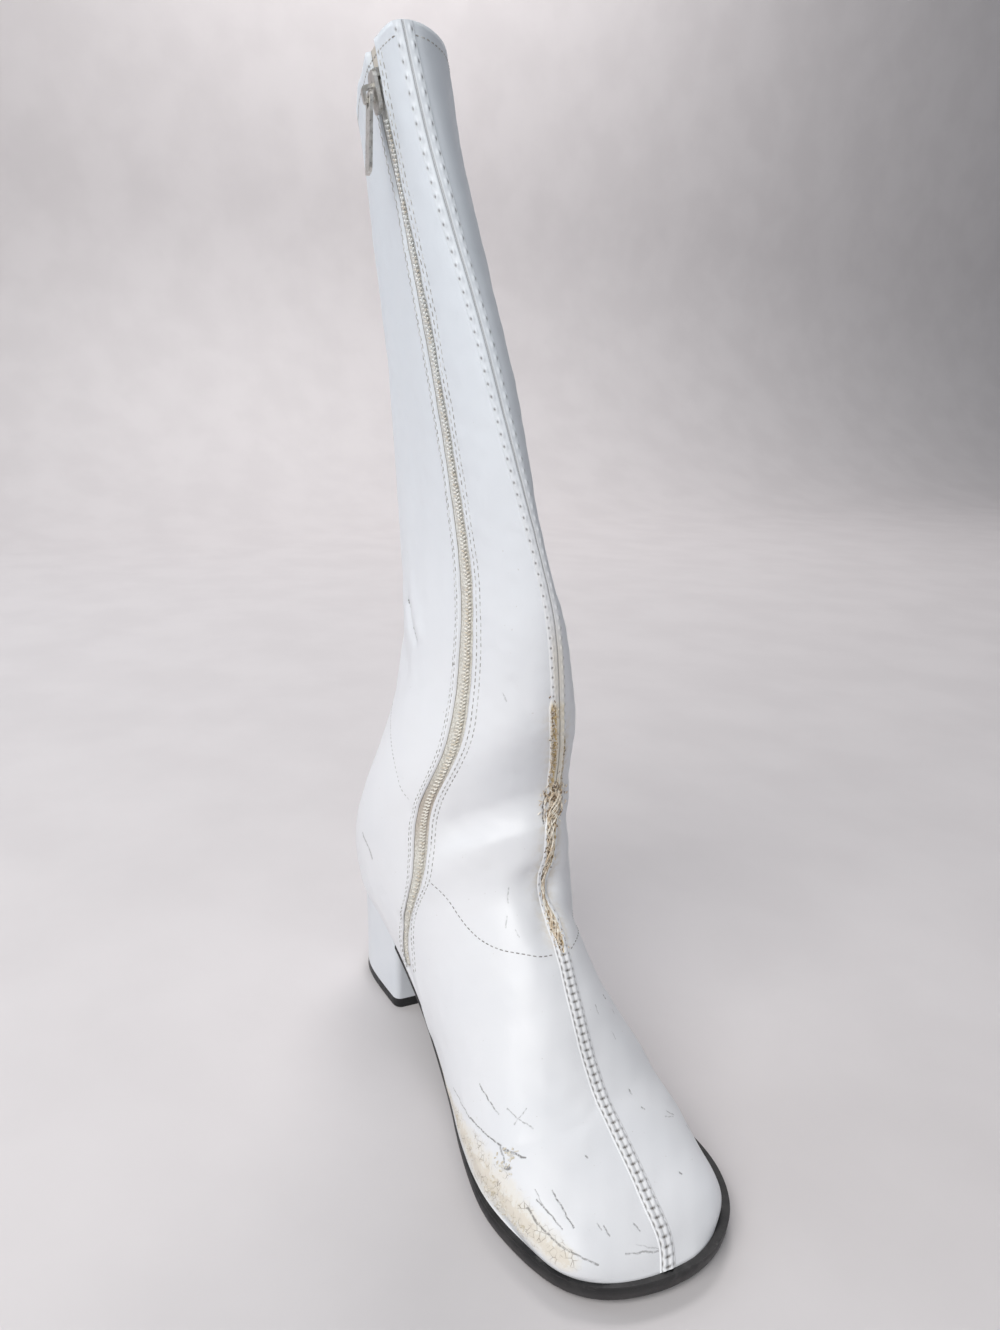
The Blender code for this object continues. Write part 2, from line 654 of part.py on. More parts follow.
# Levels of the zip's hardware outward from the upper's face
CREST = COIL_RISE - ZIP_RECESS
PLATE_LOW = CREST + ZIP_GAP
PLATE_HIGH = PLATE_LOW + SLIDER_PLATE
INNER_HIGH = -(ZIP_RECESS + TAPE_THICKNESS) - ZIP_GAP
INNER_LOW = INNER_HIGH - SLIDER_PLATE
HALF_BAR_SWING = 0.5 * math.hypot(PULL_BAR, PULL_THICKNESS)
HINGE_HEIGHT = PLATE_HIGH + HALF_BAR_SWING + PULL_RUNNING_GAP
BAIL_HOLE_TOP = HINGE_HEIGHT + HALF_BAR_SWING + PULL_RUNNING_GAP
BAIL_HOLE_HALF = HALF_BAR_SWING + PULL_RUNNING_GAP
BAIL_HALF = BAIL_HOLE_HALF + BAIL_BAR
HINGE_PLACE = SLIDER_POST - 0.5 * SLIDER_LENGTH


def flat_outline(name, splines, thickness, matrix, collection):
    """Flat piece from closed outlines, the later ones holes in the first, centred on its plane."""
    data = bpy.data.curves.new(name, "CURVE")
    data.dimensions = "2D"
    data.fill_mode = "BOTH"
    data.extrude = 0.5 * thickness
    for corners in splines:
        spline = data.splines.new("POLY")
        spline.points.add(len(corners) - 1)
        for point, (x, y) in zip(spline.points, corners):
            point.co = (x, y, 0.0, 1.0)
        spline.use_cyclic_u = True
    made = new_object(name, data, collection)
    made.matrix_world = matrix
    return made


def as_mesh(curve_object, collection):
    """The same piece as a closed mesh that Boolean modifiers can use."""
    bpy.context.view_layer.update()
    evaluated = curve_object.evaluated_get(bpy.context.evaluated_depsgraph_get())
    data = bpy.data.meshes.new_from_object(evaluated)
    mesh = bmesh.new()
    mesh.from_mesh(data)
    bmesh.ops.remove_doubles(mesh, verts=mesh.verts, dist=0.000001)
    bmesh.ops.recalc_face_normals(mesh, faces=mesh.faces)
    mesh.to_mesh(data)
    mesh.free()
    made = new_object(curve_object.name + "_solid", data, collection)
    made.matrix_world = curve_object.matrix_world
    bpy.data.objects.remove(curve_object)
    return made


def rectangle(x_low, x_high, y_low, y_high):
    """Corners of an upright rectangle."""
    return [(x_low, y_low), (x_high, y_low), (x_high, y_high), (x_low, y_high)]


def rounded_rectangle(x_low, x_high, y_low, y_high, radius):
    """Corners of a rectangle with rounded corners."""
    corners = []
    for x, y, start in ((x_high - radius, y_high - radius, 0), (x_low + radius, y_high - radius, 90),
                        (x_low + radius, y_low + radius, 180), (x_high - radius, y_low + radius, 270)):
        for step in range(4):
            angle = math.radians(start + 30.0 * step)
            corners.append((x + radius * math.cos(angle), y + radius * math.sin(angle)))
    return corners


def build_slider(collection, helpers):
    """Zip slider: outer plate, post and inner plate round the strip, and the bail on top."""
    frame = slider_frame()
    low = SLIDER_POST - SLIDER_LENGTH
    core = [(low, INNER_LOW), (SLIDER_POST, INNER_LOW), (SLIDER_POST, 0.5 * (PLATE_LOW + PLATE_HIGH)),
            (low + SLIDER_POST, 0.5 * (PLATE_LOW + PLATE_HIGH)), (low + SLIDER_POST, PLATE_LOW),
            (ZIP_GAP, PLATE_LOW), (ZIP_GAP, INNER_HIGH), (low, INNER_HIGH)]
    core_piece = flat_outline("slider_core", [core], SLIDER_CORE_WIDTH, frame, helpers)
    hinge = HINGE_PLACE
    bail = rounded_rectangle(hinge - BAIL_HALF, hinge + BAIL_HALF, PLATE_LOW + 0.5 * SLIDER_PLATE,
                             BAIL_HOLE_TOP + BAIL_BAR, 0.8 * BAIL_BAR)
    hole = rectangle(hinge - BAIL_HOLE_HALF, hinge + BAIL_HOLE_HALF, PLATE_HIGH, BAIL_HOLE_TOP)
    bail_piece = flat_outline("slider_bail", [bail, hole], BAIL_WIDTH, frame, helpers)
    tilt = frame @ Matrix.Translation((0.0, 0.5 * (PLATE_LOW + PLATE_HIGH), 0.0))
    tilt = tilt @ Matrix.Rotation(math.radians(90.0), 4, "X")
    plate = rounded_rectangle(low, SLIDER_POST, -0.5 * SLIDER_WIDTH, 0.5 * SLIDER_WIDTH,
                              0.3 * SLIDER_WIDTH)
    made = as_mesh(flat_outline("plate", [plate], SLIDER_PLATE, tilt, helpers), collection)
    made.name = "zip_slider"
    for piece in (core_piece, bail_piece):
        other = as_mesh(piece, helpers)
        other.hide_render = True
        other.display_type = "WIRE"
        union = made.modifiers.new(other.name, "BOOLEAN")
        union.operation = "UNION"
        union.object = other
    add_material(made, "zip slider metal", (0.62, 0.61, 0.58), 0.35, 0.9)


def hang_angle(frame):
    """Angle at which the free pull tab hangs plumb, away from the strip."""
    down = Vector((0.0, 0.0, -1.0))
    up = frame.to_3x3().col[0]
    outward = frame.to_3x3().col[1]
    return max(0.0, math.atan2(down.dot(outward), -down.dot(up)))


def build_pull(collection):
    """Pull tab whose bar turns in the slider's bail; it hangs plumb, with its origin on the hinge."""
    frame = slider_frame()
    hinge = frame @ Matrix.Translation((HINGE_PLACE, HINGE_HEIGHT, 0.0))
    turned = hinge @ Matrix.Rotation(-hang_angle(frame), 4, "Z") @ Matrix.Rotation(math.radians(90.0), 4, "X")
    reach = math.hypot(BAIL_HALF, BAIL_HOLE_TOP + BAIL_BAR - HINGE_HEIGHT) + PULL_RUNNING_GAP
    half_window = 0.5 * BAIL_WIDTH + PULL_RUNNING_GAP
    outline = rounded_rectangle(-PULL_LENGTH, 0.5 * PULL_BAR, -0.5 * PULL_WIDTH, 0.5 * PULL_WIDTH,
                                0.25 * PULL_WIDTH)
    window = rectangle(-reach, -0.5 * PULL_BAR, -half_window, half_window)
    made = as_mesh(flat_outline("pull", [outline, window], PULL_THICKNESS, turned, collection), collection)
    made.name = "zip_pull"
    add_material(made, "zip pull metal", (0.62, 0.61, 0.58), 0.35, 0.9)


def main():
    """Clears the scene and builds every piece of the boot."""
    for old in list(bpy.data.objects):
        bpy.data.objects.remove(old)
    pieces = bpy.data.collections.new("go_go_boot")
    helpers = bpy.data.collections.new("cutters")
    bpy.context.scene.collection.children.link(pieces)
    bpy.context.scene.collection.children.link(helpers)
    build_upper(pieces, build_trimmer(helpers))
    build_outsole(pieces)
    build_heel_block(pieces)
    build_top_piece(pieces)
    build_insole(pieces)
    build_zip_strip(pieces)
    build_slider(pieces, helpers)
    build_pull(pieces)


main()
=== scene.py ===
"""Looks of a worn white go go boot, left foot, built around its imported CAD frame.

Shoe measures: across is +X, along runs forward from the heel's back and height is +Z, all in metres.
A place on the upper is given by forward, the length along the front seam from the toe edge, and
round, the length round the boot from that seam, negative on the inner side. Detail tables hold both
in millimetres.
"""
import math
from collections import namedtuple

import bmesh
import bpy
import numpy as np
from mathutils import Matrix, Vector


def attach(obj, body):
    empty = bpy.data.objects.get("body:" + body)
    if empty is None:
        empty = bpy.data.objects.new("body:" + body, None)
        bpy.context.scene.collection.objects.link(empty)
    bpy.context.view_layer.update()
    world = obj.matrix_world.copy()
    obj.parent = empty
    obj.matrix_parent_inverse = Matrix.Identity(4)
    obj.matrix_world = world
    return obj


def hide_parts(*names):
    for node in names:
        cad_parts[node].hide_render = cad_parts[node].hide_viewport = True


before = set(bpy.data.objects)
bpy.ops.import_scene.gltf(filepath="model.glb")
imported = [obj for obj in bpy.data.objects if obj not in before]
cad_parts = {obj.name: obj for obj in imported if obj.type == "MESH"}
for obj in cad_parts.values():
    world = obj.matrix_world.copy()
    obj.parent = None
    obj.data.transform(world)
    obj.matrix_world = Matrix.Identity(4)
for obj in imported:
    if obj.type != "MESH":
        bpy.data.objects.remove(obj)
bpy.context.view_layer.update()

MM = 0.001
MEDIAL = -1
LATERAL = 1

# Camera and framing, from the photograph
PHOTO_HEIGHT = 1330
FOCAL = 908.0
SHIFT = (0.115, 0.077)
CAMERA_PLACE = (-0.2109, -0.4064, 0.3162)
CAMERA_AIM = (0.3455, 0.8564, -0.3827)
CAMERA_ROLL = math.radians(1.04)
SENSOR = 36.0

# The boot's sizes, as in the CAD
SOLE_LENGTH = 0.2605
BALL_WIDTH = 0.1075
HEEL_HEIGHT = 0.058
SHAFT_HEIGHT = 0.367
WALL = 0.0018
SOLE_THICKNESS = 0.007
WAIST_THICKNESS = 0.0045
SOLE_LEDGE = 0.005
TOE_SPRING = 0.0035
BREAST = 0.066
HEEL_CORNER = 0.004
TOP_PIECE_THICKNESS = 0.0055
GAP = 0.0003
TREAD_CENTRE = 0.5 * BREAST
TREAD_NARROWING = 0.92
TREAD_SHORTENING = 0.955
ARCH_BACK = 0.06
ARCH_BALL = 0.61
SPRING_START = 0.73
THICK_FROM = 0.40
THICK_TO = 0.57
TOE_CORNER = 0.915
ZIP_WIDTH = 0.0115
ZIP_RECESS = 0.0006
ZIP_BELOW_COLLAR = 0.010
COIL_WIDTH = 0.0044
COIL_MIDDLE = 0.0014
COIL_PITCH = 0.00075
ZIP_STITCH_OFFSETS = (8.4, 11.0, -7.8, -9.8)
STITCH_SINK = 0.00004
HEEL_WAIST = 0.0004
SHARP_ANGLE = math.radians(40.0)
CURVE_POINTS = 49

# How finely the surfaces are made
ROW_STEP = 0.00155
SEAM_ROW_STEP = 0.0004
FRONT_CELLS = 44
SLOT_CELLS = 6
BACK_CELLS = 52
LATERAL_CELLS = 96
LINING_SKIP = 3

SoleRow = namedtuple("SoleRow", "along medial lateral medial_ledge lateral_ledge")
SOLE_ROWS = [SoleRow(*row) for row in (
    (0.008, 0.000, 0.000, 0.0, 0.0),
    (0.023, 0.150, 0.121, 0.0, 0.0),
    (0.054, 0.238, 0.209, 0.0, 0.0),
    (0.104, 0.286, 0.260, 0.0, 0.0),
    (0.173, 0.296, 0.279, 0.0, 0.0),
    (0.269, 0.286, 0.298, 0.0, 0.1),
    (0.365, 0.280, 0.326, 0.0, 0.3),
    (0.461, 0.298, 0.372, 0.0, 0.5),
    (0.557, 0.340, 0.428, 0.0, 0.7),
    (0.633, 0.398, 0.474, 0.0, 0.8),
    (0.710, 0.450, 0.507, 0.1, 0.9),
    (0.787, 0.479, 0.521, 0.3, 1.0),
    (0.852, 0.465, 0.498, 0.36, 1.0),
    (0.906, 0.433, 0.437, 0.4, 1.0),
    (0.948, 0.381, 0.349, 0.4, 0.9),
    (0.979, 0.288, 0.233, 0.4, 0.64),
    (0.996, 0.158, 0.102, 0.4, 0.44),
    (1.000, 0.028, -0.028, 0.4, 0.4),
)]
FootRow = namedtuple(
    "FootRow", "name across along rise edge medial lateral middle fullness turn zip")
FOOT_ROWS = [FootRow(*row) for row in (
    ("toe wall", 0.005, 0.964, 0.023, 0.880, 0.413, 0.391, 0.93, 2.75, 30, 0.60),
    ("toe top", 0.009, 0.934, 0.041, 0.837, 0.441, 0.418, 0.90, 2.70, 35, 0.60),
    ("toe box", 0.017, 0.887, 0.059, 0.791, 0.458, 0.436, 0.87, 2.55, 40, 0.60),
    ("ball front", 0.024, 0.821, 0.083, 0.733, 0.464, 0.462, 0.84, 2.35, 45, 0.61),
    ("ball", 0.031, 0.762, 0.106, 0.672, 0.456, 0.466, 0.81, 2.15, 45, 0.63),
    ("vamp", 0.037, 0.704, 0.151, 0.595, 0.424, 0.446, 0.80, 2.00, 45, 0.68),
    ("low instep", 0.051, 0.644, 0.189, 0.511, 0.388, 0.352, 0.78, 2.00, 45, 0.76),
    ("instep", 0.070, 0.578, 0.213, 0.415, 0.364, 0.305, 0.72, 2.05, 45, 0.86),
    ("high instep", 0.084, 0.531, 0.206, 0.307, 0.352, 0.345, 0.66, 2.10, 50, 0.90),
    ("throat", 0.093, 0.523, 0.198, 0.184, 0.372, 0.350, 0.60, 2.10, 60, 0.60),
    ("front bend", 0.100, 0.521, 0.218, 0.085, 0.392, 0.325, 0.56, 2.10, 75, 0.45),
    ("heel round", 0.120, 0.510, 0.232, 0.025, 0.396, 0.310, 0.55, 2.10, 85, 0.41),
)]
ShaftRow = namedtuple(
    "ShaftRow",
    "name across along rise back_across back_along back_rise medial lateral middle fullness zip")
SHAFT_ROWS = [ShaftRow(*row) for row in (
    ("seat", 0.135, 0.500, 0.250, 0.000, 0.008, 0.001, 0.396, 0.300, 0.55, 2.1, 0.385),
    ("low counter", 0.130, 0.500, 0.272, -0.050, -0.016, 0.032, 0.400, 0.295, 0.54, 2.1, 0.360),
    ("counter", 0.112, 0.510, 0.300, -0.062, -0.020, 0.080, 0.398, 0.293, 0.53, 2.1, 0.325),
    ("ankle", 0.060, 0.534, 0.346, -0.024, -0.006, 0.163, 0.350, 0.290, 0.52, 2.1, 0.280),
    ("low shaft", 0.008, 0.550, 0.403, 0.024, 0.012, 0.264, 0.272, 0.240, 0.50, 2.1, 0.283),
    ("bend", -0.056, 0.562, 0.474, 0.034, 0.015, 0.373, 0.215, 0.190, 0.50, 2.1, 0.285),
    ("low calf", -0.145, 0.554, 0.556, 0.005, 0.003, 0.496, 0.158, 0.140, 0.50, 2.1, 0.278),
    ("calf", -0.260, 0.530, 0.659, -0.034, -0.017, 0.627, 0.127, 0.170, 0.50, 2.1, 0.263),
    ("high calf", -0.388, 0.497, 0.782, -0.070, -0.043, 0.763, 0.115, 0.195, 0.50, 2.1, 0.225),
    ("top", -0.518, 0.456, 0.905, -0.105, -0.068, 0.894, 0.110, 0.200, 0.50, 2.1, 0.192),
    ("collar", -0.610, 0.438, 1.000, -0.130, -0.086, 0.993, 0.112, 0.205, 0.50, 2.1, 0.176),
)]
ZIP_FOOT_ROW = "high instep"

# The inner side is rounded between foot and shaft: the stretch forward, and how far round from the
# front seam and from the back seam the rounding fades in
EASED = (0.184, 0.220)
EASED_FROM_SEAM = (0.045, 0.075)
EASED_FROM_BACK = (0.005, 0.018)

# Where the skin starts to hang slack, and the lips beside the zip
SLACK = (0.13, 0.20)
ZIP_LIP_OFFSET = 0.0012
ZIP_LIP_WIDTH = 0.0016
ZIP_LIP_HEIGHT = 0.00045

# Folds and dents: a line of (forward, round) places in mm, how deep and how wide in mm; ridges are
# negative troughs
Fold = namedtuple("Fold", "name line depth width")
FOLDS = [Fold(*row) for row in (
    ("dent on the seam", ((158, 3), (150, -3), (143, -4)), 3.0, 6.5),
    ("trough beside the dent", ((166, -9), (154, -12), (141, -9), (131, -5)), 1.3, 6.0),
    ("lateral dent fold", ((153, 4), (149, 16), (145, 34)), 1.6, 7.0),
    ("bulge over the dent", ((172, -16), (176, -4), (172, 10)), -1.2, 8.0),
    ("ankle trough", ((178, -20), (172, -42), (168, -62)), 0.9, 9.0),
    ("ball crease", ((65, -4), (60, -14), (60, -26), (62, -40)), 0.35, 2.2),
    ("outer ball crease", ((66, 4), (62, 16), (57, 30), (52, 44)), 0.4, 2.4),
    ("ball roll", ((76, -8), (71, -24), (70, -42)), -0.35, 6.0),
    ("shin crease", ((266, -19), (256, -15), (246, -11)), 0.35, 2.5),
    ("back crease", ((300, -118), (292, -107), (285, -97)), 1.8, 2.6),
    ("roll over the back crease", ((306, -108), (297, -98), (288, -90)), -1.0, 5.0),
    ("back hollow", ((292, -140), (284, -128), (276, -112)), 1.6, 9.0),
    ("outer ankle fold", ((188, 20), (196, 60), (206, 100)), 1.5, 9.0),
    ("outer low fold", ((172, 24), (178, 56), (186, 92)), 1.1, 8.0),
    ("outer shin fold", ((292, 30), (286, 70), (280, 110)), 1.4, 12.0),
    ("zip foot fold", ((170, -98), (160, -108), (150, -112)), 1.1, 3.0),
    ("zip foot roll", ((160, -96), (150, -102), (140, -106)), -0.7, 3.5),
    ("counter crease", ((232, -92), (222, -84), (214, -80)), 0.5, 3.0),
    ("shaft crest", ((470, -16), (400, -22), (330, -24), (290, -26)), -0.8, 12.0),
)]

# Sewn lines that don't follow the front seam or the zip, in (forward, round) mm
VAMP_LINE = ((178.3, -64.5), (168, -52), (161, -45.3), (153.7, -39.6), (145.4, -31.9), (139.6, -24.9),
             (134.6, -17.8), (130.6, -11.3), (129, -4.5))
OUTER_VAMP_LINE = ((129, 4.5), (132, 9), (139, 19), (148, 30), (159, 44), (171, 58), (184, 74))
COUNTER_LINE = ((262, -136), (255, -121.7), (250.2, -111.6), (238.3, -97.9), (226.9, -88.5), (219, -80))
OUTER_COUNTER_LINE = ((262, 134), (254, 120), (244, 108), (230, 97), (214, 90), (200, 86), (186, 88))

# Scratches and cuts in the coating, in (forward, round) mm: from, to, width in mm and darkness
Scratch = namedtuple("Scratch", "start end width dark")
SCRATCHES = [Scratch(*row) for row in (
    ((104.9, -77.3), (82, -61), 0.35, 0.55), ((84, -62), (65.5, -48.7), 0.5, 0.75),
    ((94.9, -53.3), (77.8, -45.3), 0.45, 0.7), ((78, -41), (66, -33.5), 0.35, 0.45),
    ((71, -40), (74, -33), 0.35, 0.45), ((63.5, -48), (60, -44.5), 1.1, 0.9),
    ((60.5, -45), (56.7, -41), 0.8, 0.8), ((66, -49), (58, -50), 0.6, 0.6),
    ((55.9, -50.4), (55.3, -49.0), 1.3, 0.8), ((40.6, -36.2), (24.3, -34.0), 0.45, 0.75),
    ((38.9, -43.3), (24.2, -38.2), 0.45, 0.7), ((43, -42.5), (33, -41.5), 0.3, 0.4),
    ((35.9, -48.3), (27.0, -46.4), 0.9, 0.7), ((27.0, -46.4), (19.0, -42.0), 0.8, 0.7),
    ((19.0, -42.0), (14.3, -36.1), 0.6, 0.6), ((14.3, -36.1), (10.4, -30.0), 0.5, 0.6),
    ((11.3, -18.0), (7.8, -2.0), 0.4, 0.5), ((12.6, -13.0), (9.0, -4.0), 0.3, 0.3),
    ((21.7, -22.7), (18.3, -21.7), 0.4, 0.6), ((23.5, -24.7), (20.8, -24.0), 0.4, 0.5),
    ((19.6, -10.8), (17.1, -9.1), 0.4, 0.5), ((53.0, 31.2), (50, 35), 0.4, 0.6),
    ((51, 28), (49.5, 34), 0.3, 0.5), ((43.2, 43.2), (41.5, 45), 0.6, 0.5),
    ((58.1, 17.6), (56.5, 18.4), 0.6, 0.6), ((65.9, 15.5), (64.2, 16.2), 0.6, 0.6),
    ((108.6, 20.2), (106.8, 20.8), 0.6, 0.75), ((102, 23.6), (99.5, 25.2), 0.4, 0.5),
    ((92, 17.0), (88, 18.0), 0.3, 0.4), ((104, 11.0), (100, 11.5), 0.35, 0.4),
    ((48.3, -18.0), (47.8, -17.6), 0.7, 0.7), ((29.7, 19.3), (29.2, 19.7), 0.7, 0.7),
    ((276.4, -56.9), (275.8, -56.6), 0.9, 0.9), ((300.8, -119), (299.0, -116.5), 1.0, 0.95),
    ((292, -107.0), (285.5, -97.3), 0.45, 0.6), ((210, -134), (196, -127), 1.3, 0.5),
    ((262, -24), (258, -22), 0.4, 0.3), ((207, -4.6), (198, -6.2), 0.5, 0.9),
    ((198, -6.2), (190, -5.0), 0.6, 0.9), ((164, -19), (159, -20), 0.5, 0.35),
    ((154, -22), (150, -24), 0.5, 0.35), ((147, -20), (143, -19), 0.4, 0.3),
)]

# The abraded toe patch and the torn stretch of the front seam, in mm
WEAR_LINE = ((126, -101), (109, -90), (88, -76), (70, -68), (52, -62), (36, -56), (22, -50), (13, -42))
WEAR_HALF_WIDTHS = (2.5, 4.0, 7.0, 12.0, 15.0, 14.0, 11.0, 7.0)
TORN_FROM = 134.0
TORN_TO = 254.0
BRAID_TO = 204.0
BRAID_HALF_WIDTHS = ((127, 0.0), (132, 1.0), (140, 1.7), (150, 1.1), (158, 1.0), (170, 1.5), (186, 2.1),
                     (197, 3.2), (204, 3.0), (210, 0.0))


def place(across, along, height):
    """World position of a point given across, along and height."""
    return Vector((across, TREAD_CENTRE - along, height))


def to_world(points):
    """The same for an array of shoe points."""
    moved = np.array(points, float)
    moved[..., 1] = TREAD_CENTRE - moved[..., 1]
    return moved


def smooth_step(start, end, at):
    """Rises from 0 at start to 1 at end without a corner."""
    x = np.clip((at - start) / (end - start), 0.0, 1.0)
    return x * x * (3.0 - 2.0 * x)


class SmoothCurve:
    """Natural cubic curve through rows of values at rising knots."""

    def __init__(self, knots, values):
        self.knots = np.asarray(knots, float)
        self.shape = np.shape(values)[1:]
        self.values = np.reshape(values, (len(self.knots), -1)).astype(float)
        step = np.diff(self.knots)
        slope = np.diff(self.values, axis=0) / step[:, None]
        count = len(self.knots)
        system = np.eye(count)
        right = np.zeros_like(self.values)
        for i in range(1, count - 1):
            system[i, i - 1:i + 2] = step[i - 1], 2.0 * (step[i - 1] + step[i]), step[i]
            right[i] = 6.0 * (slope[i] - slope[i - 1])
        self.bend = np.linalg.solve(system, right)

    def at(self, places):
        """Values at each of the places."""
        places = np.atleast_1d(np.asarray(places, float))
        k = np.clip(np.searchsorted(self.knots, places, side="right") - 1, 0, len(self.knots) - 2)
        step = (self.knots[k + 1] - self.knots[k])[:, None]
        after = (places - self.knots[k])[:, None]
        before = step - after
        value = (self.values[k] * before + self.values[k + 1] * after) / step
        value += self.bend[k] * (before ** 3 / step - before * step) / 6.0
        value += self.bend[k + 1] * (after ** 3 / step - after * step) / 6.0
        return value.reshape((len(places),) + self.shape)


def inset(points, side, distance):
    """Moves a side's outline inward by a distance that may vary along it."""
    way = np.gradient(points, axis=0)
    way /= np.linalg.norm(way, axis=1)[:, None]
    inward = np.column_stack((-way[:, 1], way[:, 0])) * side
    return points + inward * np.reshape(distance, (-1, 1))


def plan_curve(side, inset_to):
    """One side's outline from the heel's back to the toe tip; "ledge" is where the upper stands."""
    medial = [(-row.medial * BALL_WIDTH, row.along * SOLE_LENGTH) for row in SOLE_ROWS]
    lateral = [(row.lateral * BALL_WIDTH, row.along * SOLE_LENGTH) for row in SOLE_ROWS]
    near, far = (medial, lateral) if side == MEDIAL else (lateral, medial)
    loop = np.array(far[3:0:-1] + near + far[-2:-5:-1])
    knots = np.append(0.0, np.cumsum(np.sqrt(np.linalg.norm(np.diff(loop, axis=0), axis=1))))
    own = knots[3:3 + len(near)]
    at = np.linspace(own[0], own[-1], 40 * len(near))
    points = SmoothCurve(knots, loop).at(at)
    if inset_to == "ledge":
        column = [row.medial_ledge if side == MEDIAL else row.lateral_ledge for row in SOLE_ROWS]
        points = inset(points, side, SOLE_LEDGE * np.interp(at, own, column))
    return points


OUTLINE = {side: plan_curve(side, "outline") for side in (MEDIAL, LATERAL)}
FEATHER = {side: plan_curve(side, "ledge") for side in (MEDIAL, LATERAL)}


def across_at(curve, along):
    """Across position of a side's curve at a place along the sole."""
    return float(np.interp(along, curve[:, 1], curve[:, 0]))


def nearest(curve, point):
    """The curve's point nearest to another point in plan."""
    return curve[np.argmin(np.linalg.norm(curve - point, axis=1))]


def seat_height(along):
    """Height of the sole's and heel's top, which the upper stands on."""
    share = along / SOLE_LENGTH
    arch = 1.0 - smooth_step(ARCH_BACK, ARCH_BALL, share)
    spring = np.clip((share - SPRING_START) / (1.0 - SPRING_START), 0.0, 1.0) ** 2
    return SOLE_THICKNESS + (HEEL_HEIGHT - SOLE_THICKNESS) * arch + TOE_SPRING * spring


def edge_height(along):
    """Height where the upper ends, just in the sole's top."""
    return seat_height(along) - GAP


def sole_thickness(along):
    """Thickness of the outsole, thinner at the waist."""
    full = smooth_step(THICK_FROM, THICK_TO, along / SOLE_LENGTH)
    return WAIST_THICKNESS + (SOLE_THICKNESS - WAIST_THICKNESS) * full


def run_along(points):
    """Length along a line of points, up to each of them."""
    return np.append(0.0, np.cumsum(np.linalg.norm(np.diff(points, axis=0), axis=1)))


def spread_at(points, run, at):
    """Values of a line of points at other lengths along it."""
    return np.column_stack([np.interp(at, run, points[:, k]) for k in range(3)])


def evenly(points, count):
    """The same curve with its points evenly spaced."""
    run = run_along(points)
    return spread_at(points, run, np.linspace(0.0, run[-1], count))


def half_section(seam, lower, centre, side, width, row, turn):
    """Curve from the seam round one side to the lower edge or the back seam."""
    axis = centre - seam
    forward = Vector((axis[0], axis[1], 0.0)).normalized()
    sideways = np.array((-forward.y, forward.x, 0.0))
    unit = axis / np.linalg.norm(axis)
    sideways -= unit * np.dot(sideways, unit)
    sideways /= np.linalg.norm(sideways)
    middle = seam + axis * row.middle
    widest = middle + sideways * side * width
    angle = np.linspace(math.pi / 2, 0.0, 60)[:, None]
    power = 2.0 / row.fullness
    upper = middle + np.sin(angle) ** power * (seam - middle) + np.cos(angle) ** power * (widest - middle)
    down = np.dot(lower - widest, unit) * unit
    inward = lower - widest - down
    last = math.radians(turn)
    angle = np.linspace(0.0, last, 40)[1:, None]
    under = widest + np.sin(angle) / math.sin(last) * down
    under = under + (1.0 - np.cos(angle)) / (1.0 - math.cos(last)) * inward
    return evenly(np.vstack((upper, under)), CURVE_POINTS)


def toe_edge(side):
    """The featherline round the toe, from its tip to the corner where the sections start."""
    corner = TOE_CORNER * SOLE_LENGTH
    curve = FEATHER[side][FEATHER[side][:, 1] >= corner][::-1]
    return evenly(np.column_stack((curve, edge_height(curve[:, 1]))), CURVE_POINTS)


def foot_sections(row):
    """Medial and lateral curves of one section of the foot."""
    edge = row.edge * SOLE_LENGTH
    floor = edge_height(edge)
    ends = {side: np.array((across_at(FEATHER[side], edge), edge, floor)) for side in FEATHER}
    seam = np.array((row.across * BALL_WIDTH, row.along * SOLE_LENGTH, floor + row.rise * SHAFT_HEIGHT))
    centre = 0.5 * (ends[MEDIAL] + ends[LATERAL])
    widths = {MEDIAL: row.medial * BALL_WIDTH, LATERAL: row.lateral * BALL_WIDTH}
    return [half_section(seam, ends[side], centre, side, widths[side], row, row.turn)
            for side in (MEDIAL, LATERAL)]


def shaft_sections(row):
    """Medial and lateral curves of one closed section of the shaft."""
    base = HEEL_HEIGHT + GAP
    seam = np.array((row.across * BALL_WIDTH, row.along * SOLE_LENGTH, base + row.rise * SHAFT_HEIGHT))
    back = np.array((row.back_across * BALL_WIDTH, row.back_along * SOLE_LENGTH,
                     base + row.back_rise * SHAFT_HEIGHT))
    if row.name == "seat":
        back[2] = edge_height(back[1])
    widths = {MEDIAL: row.medial * BALL_WIDTH, LATERAL: row.lateral * BALL_WIDTH}
    return [half_section(seam, back, back, side, widths[side], row, 90.0)
            for side in (MEDIAL, LATERAL)]


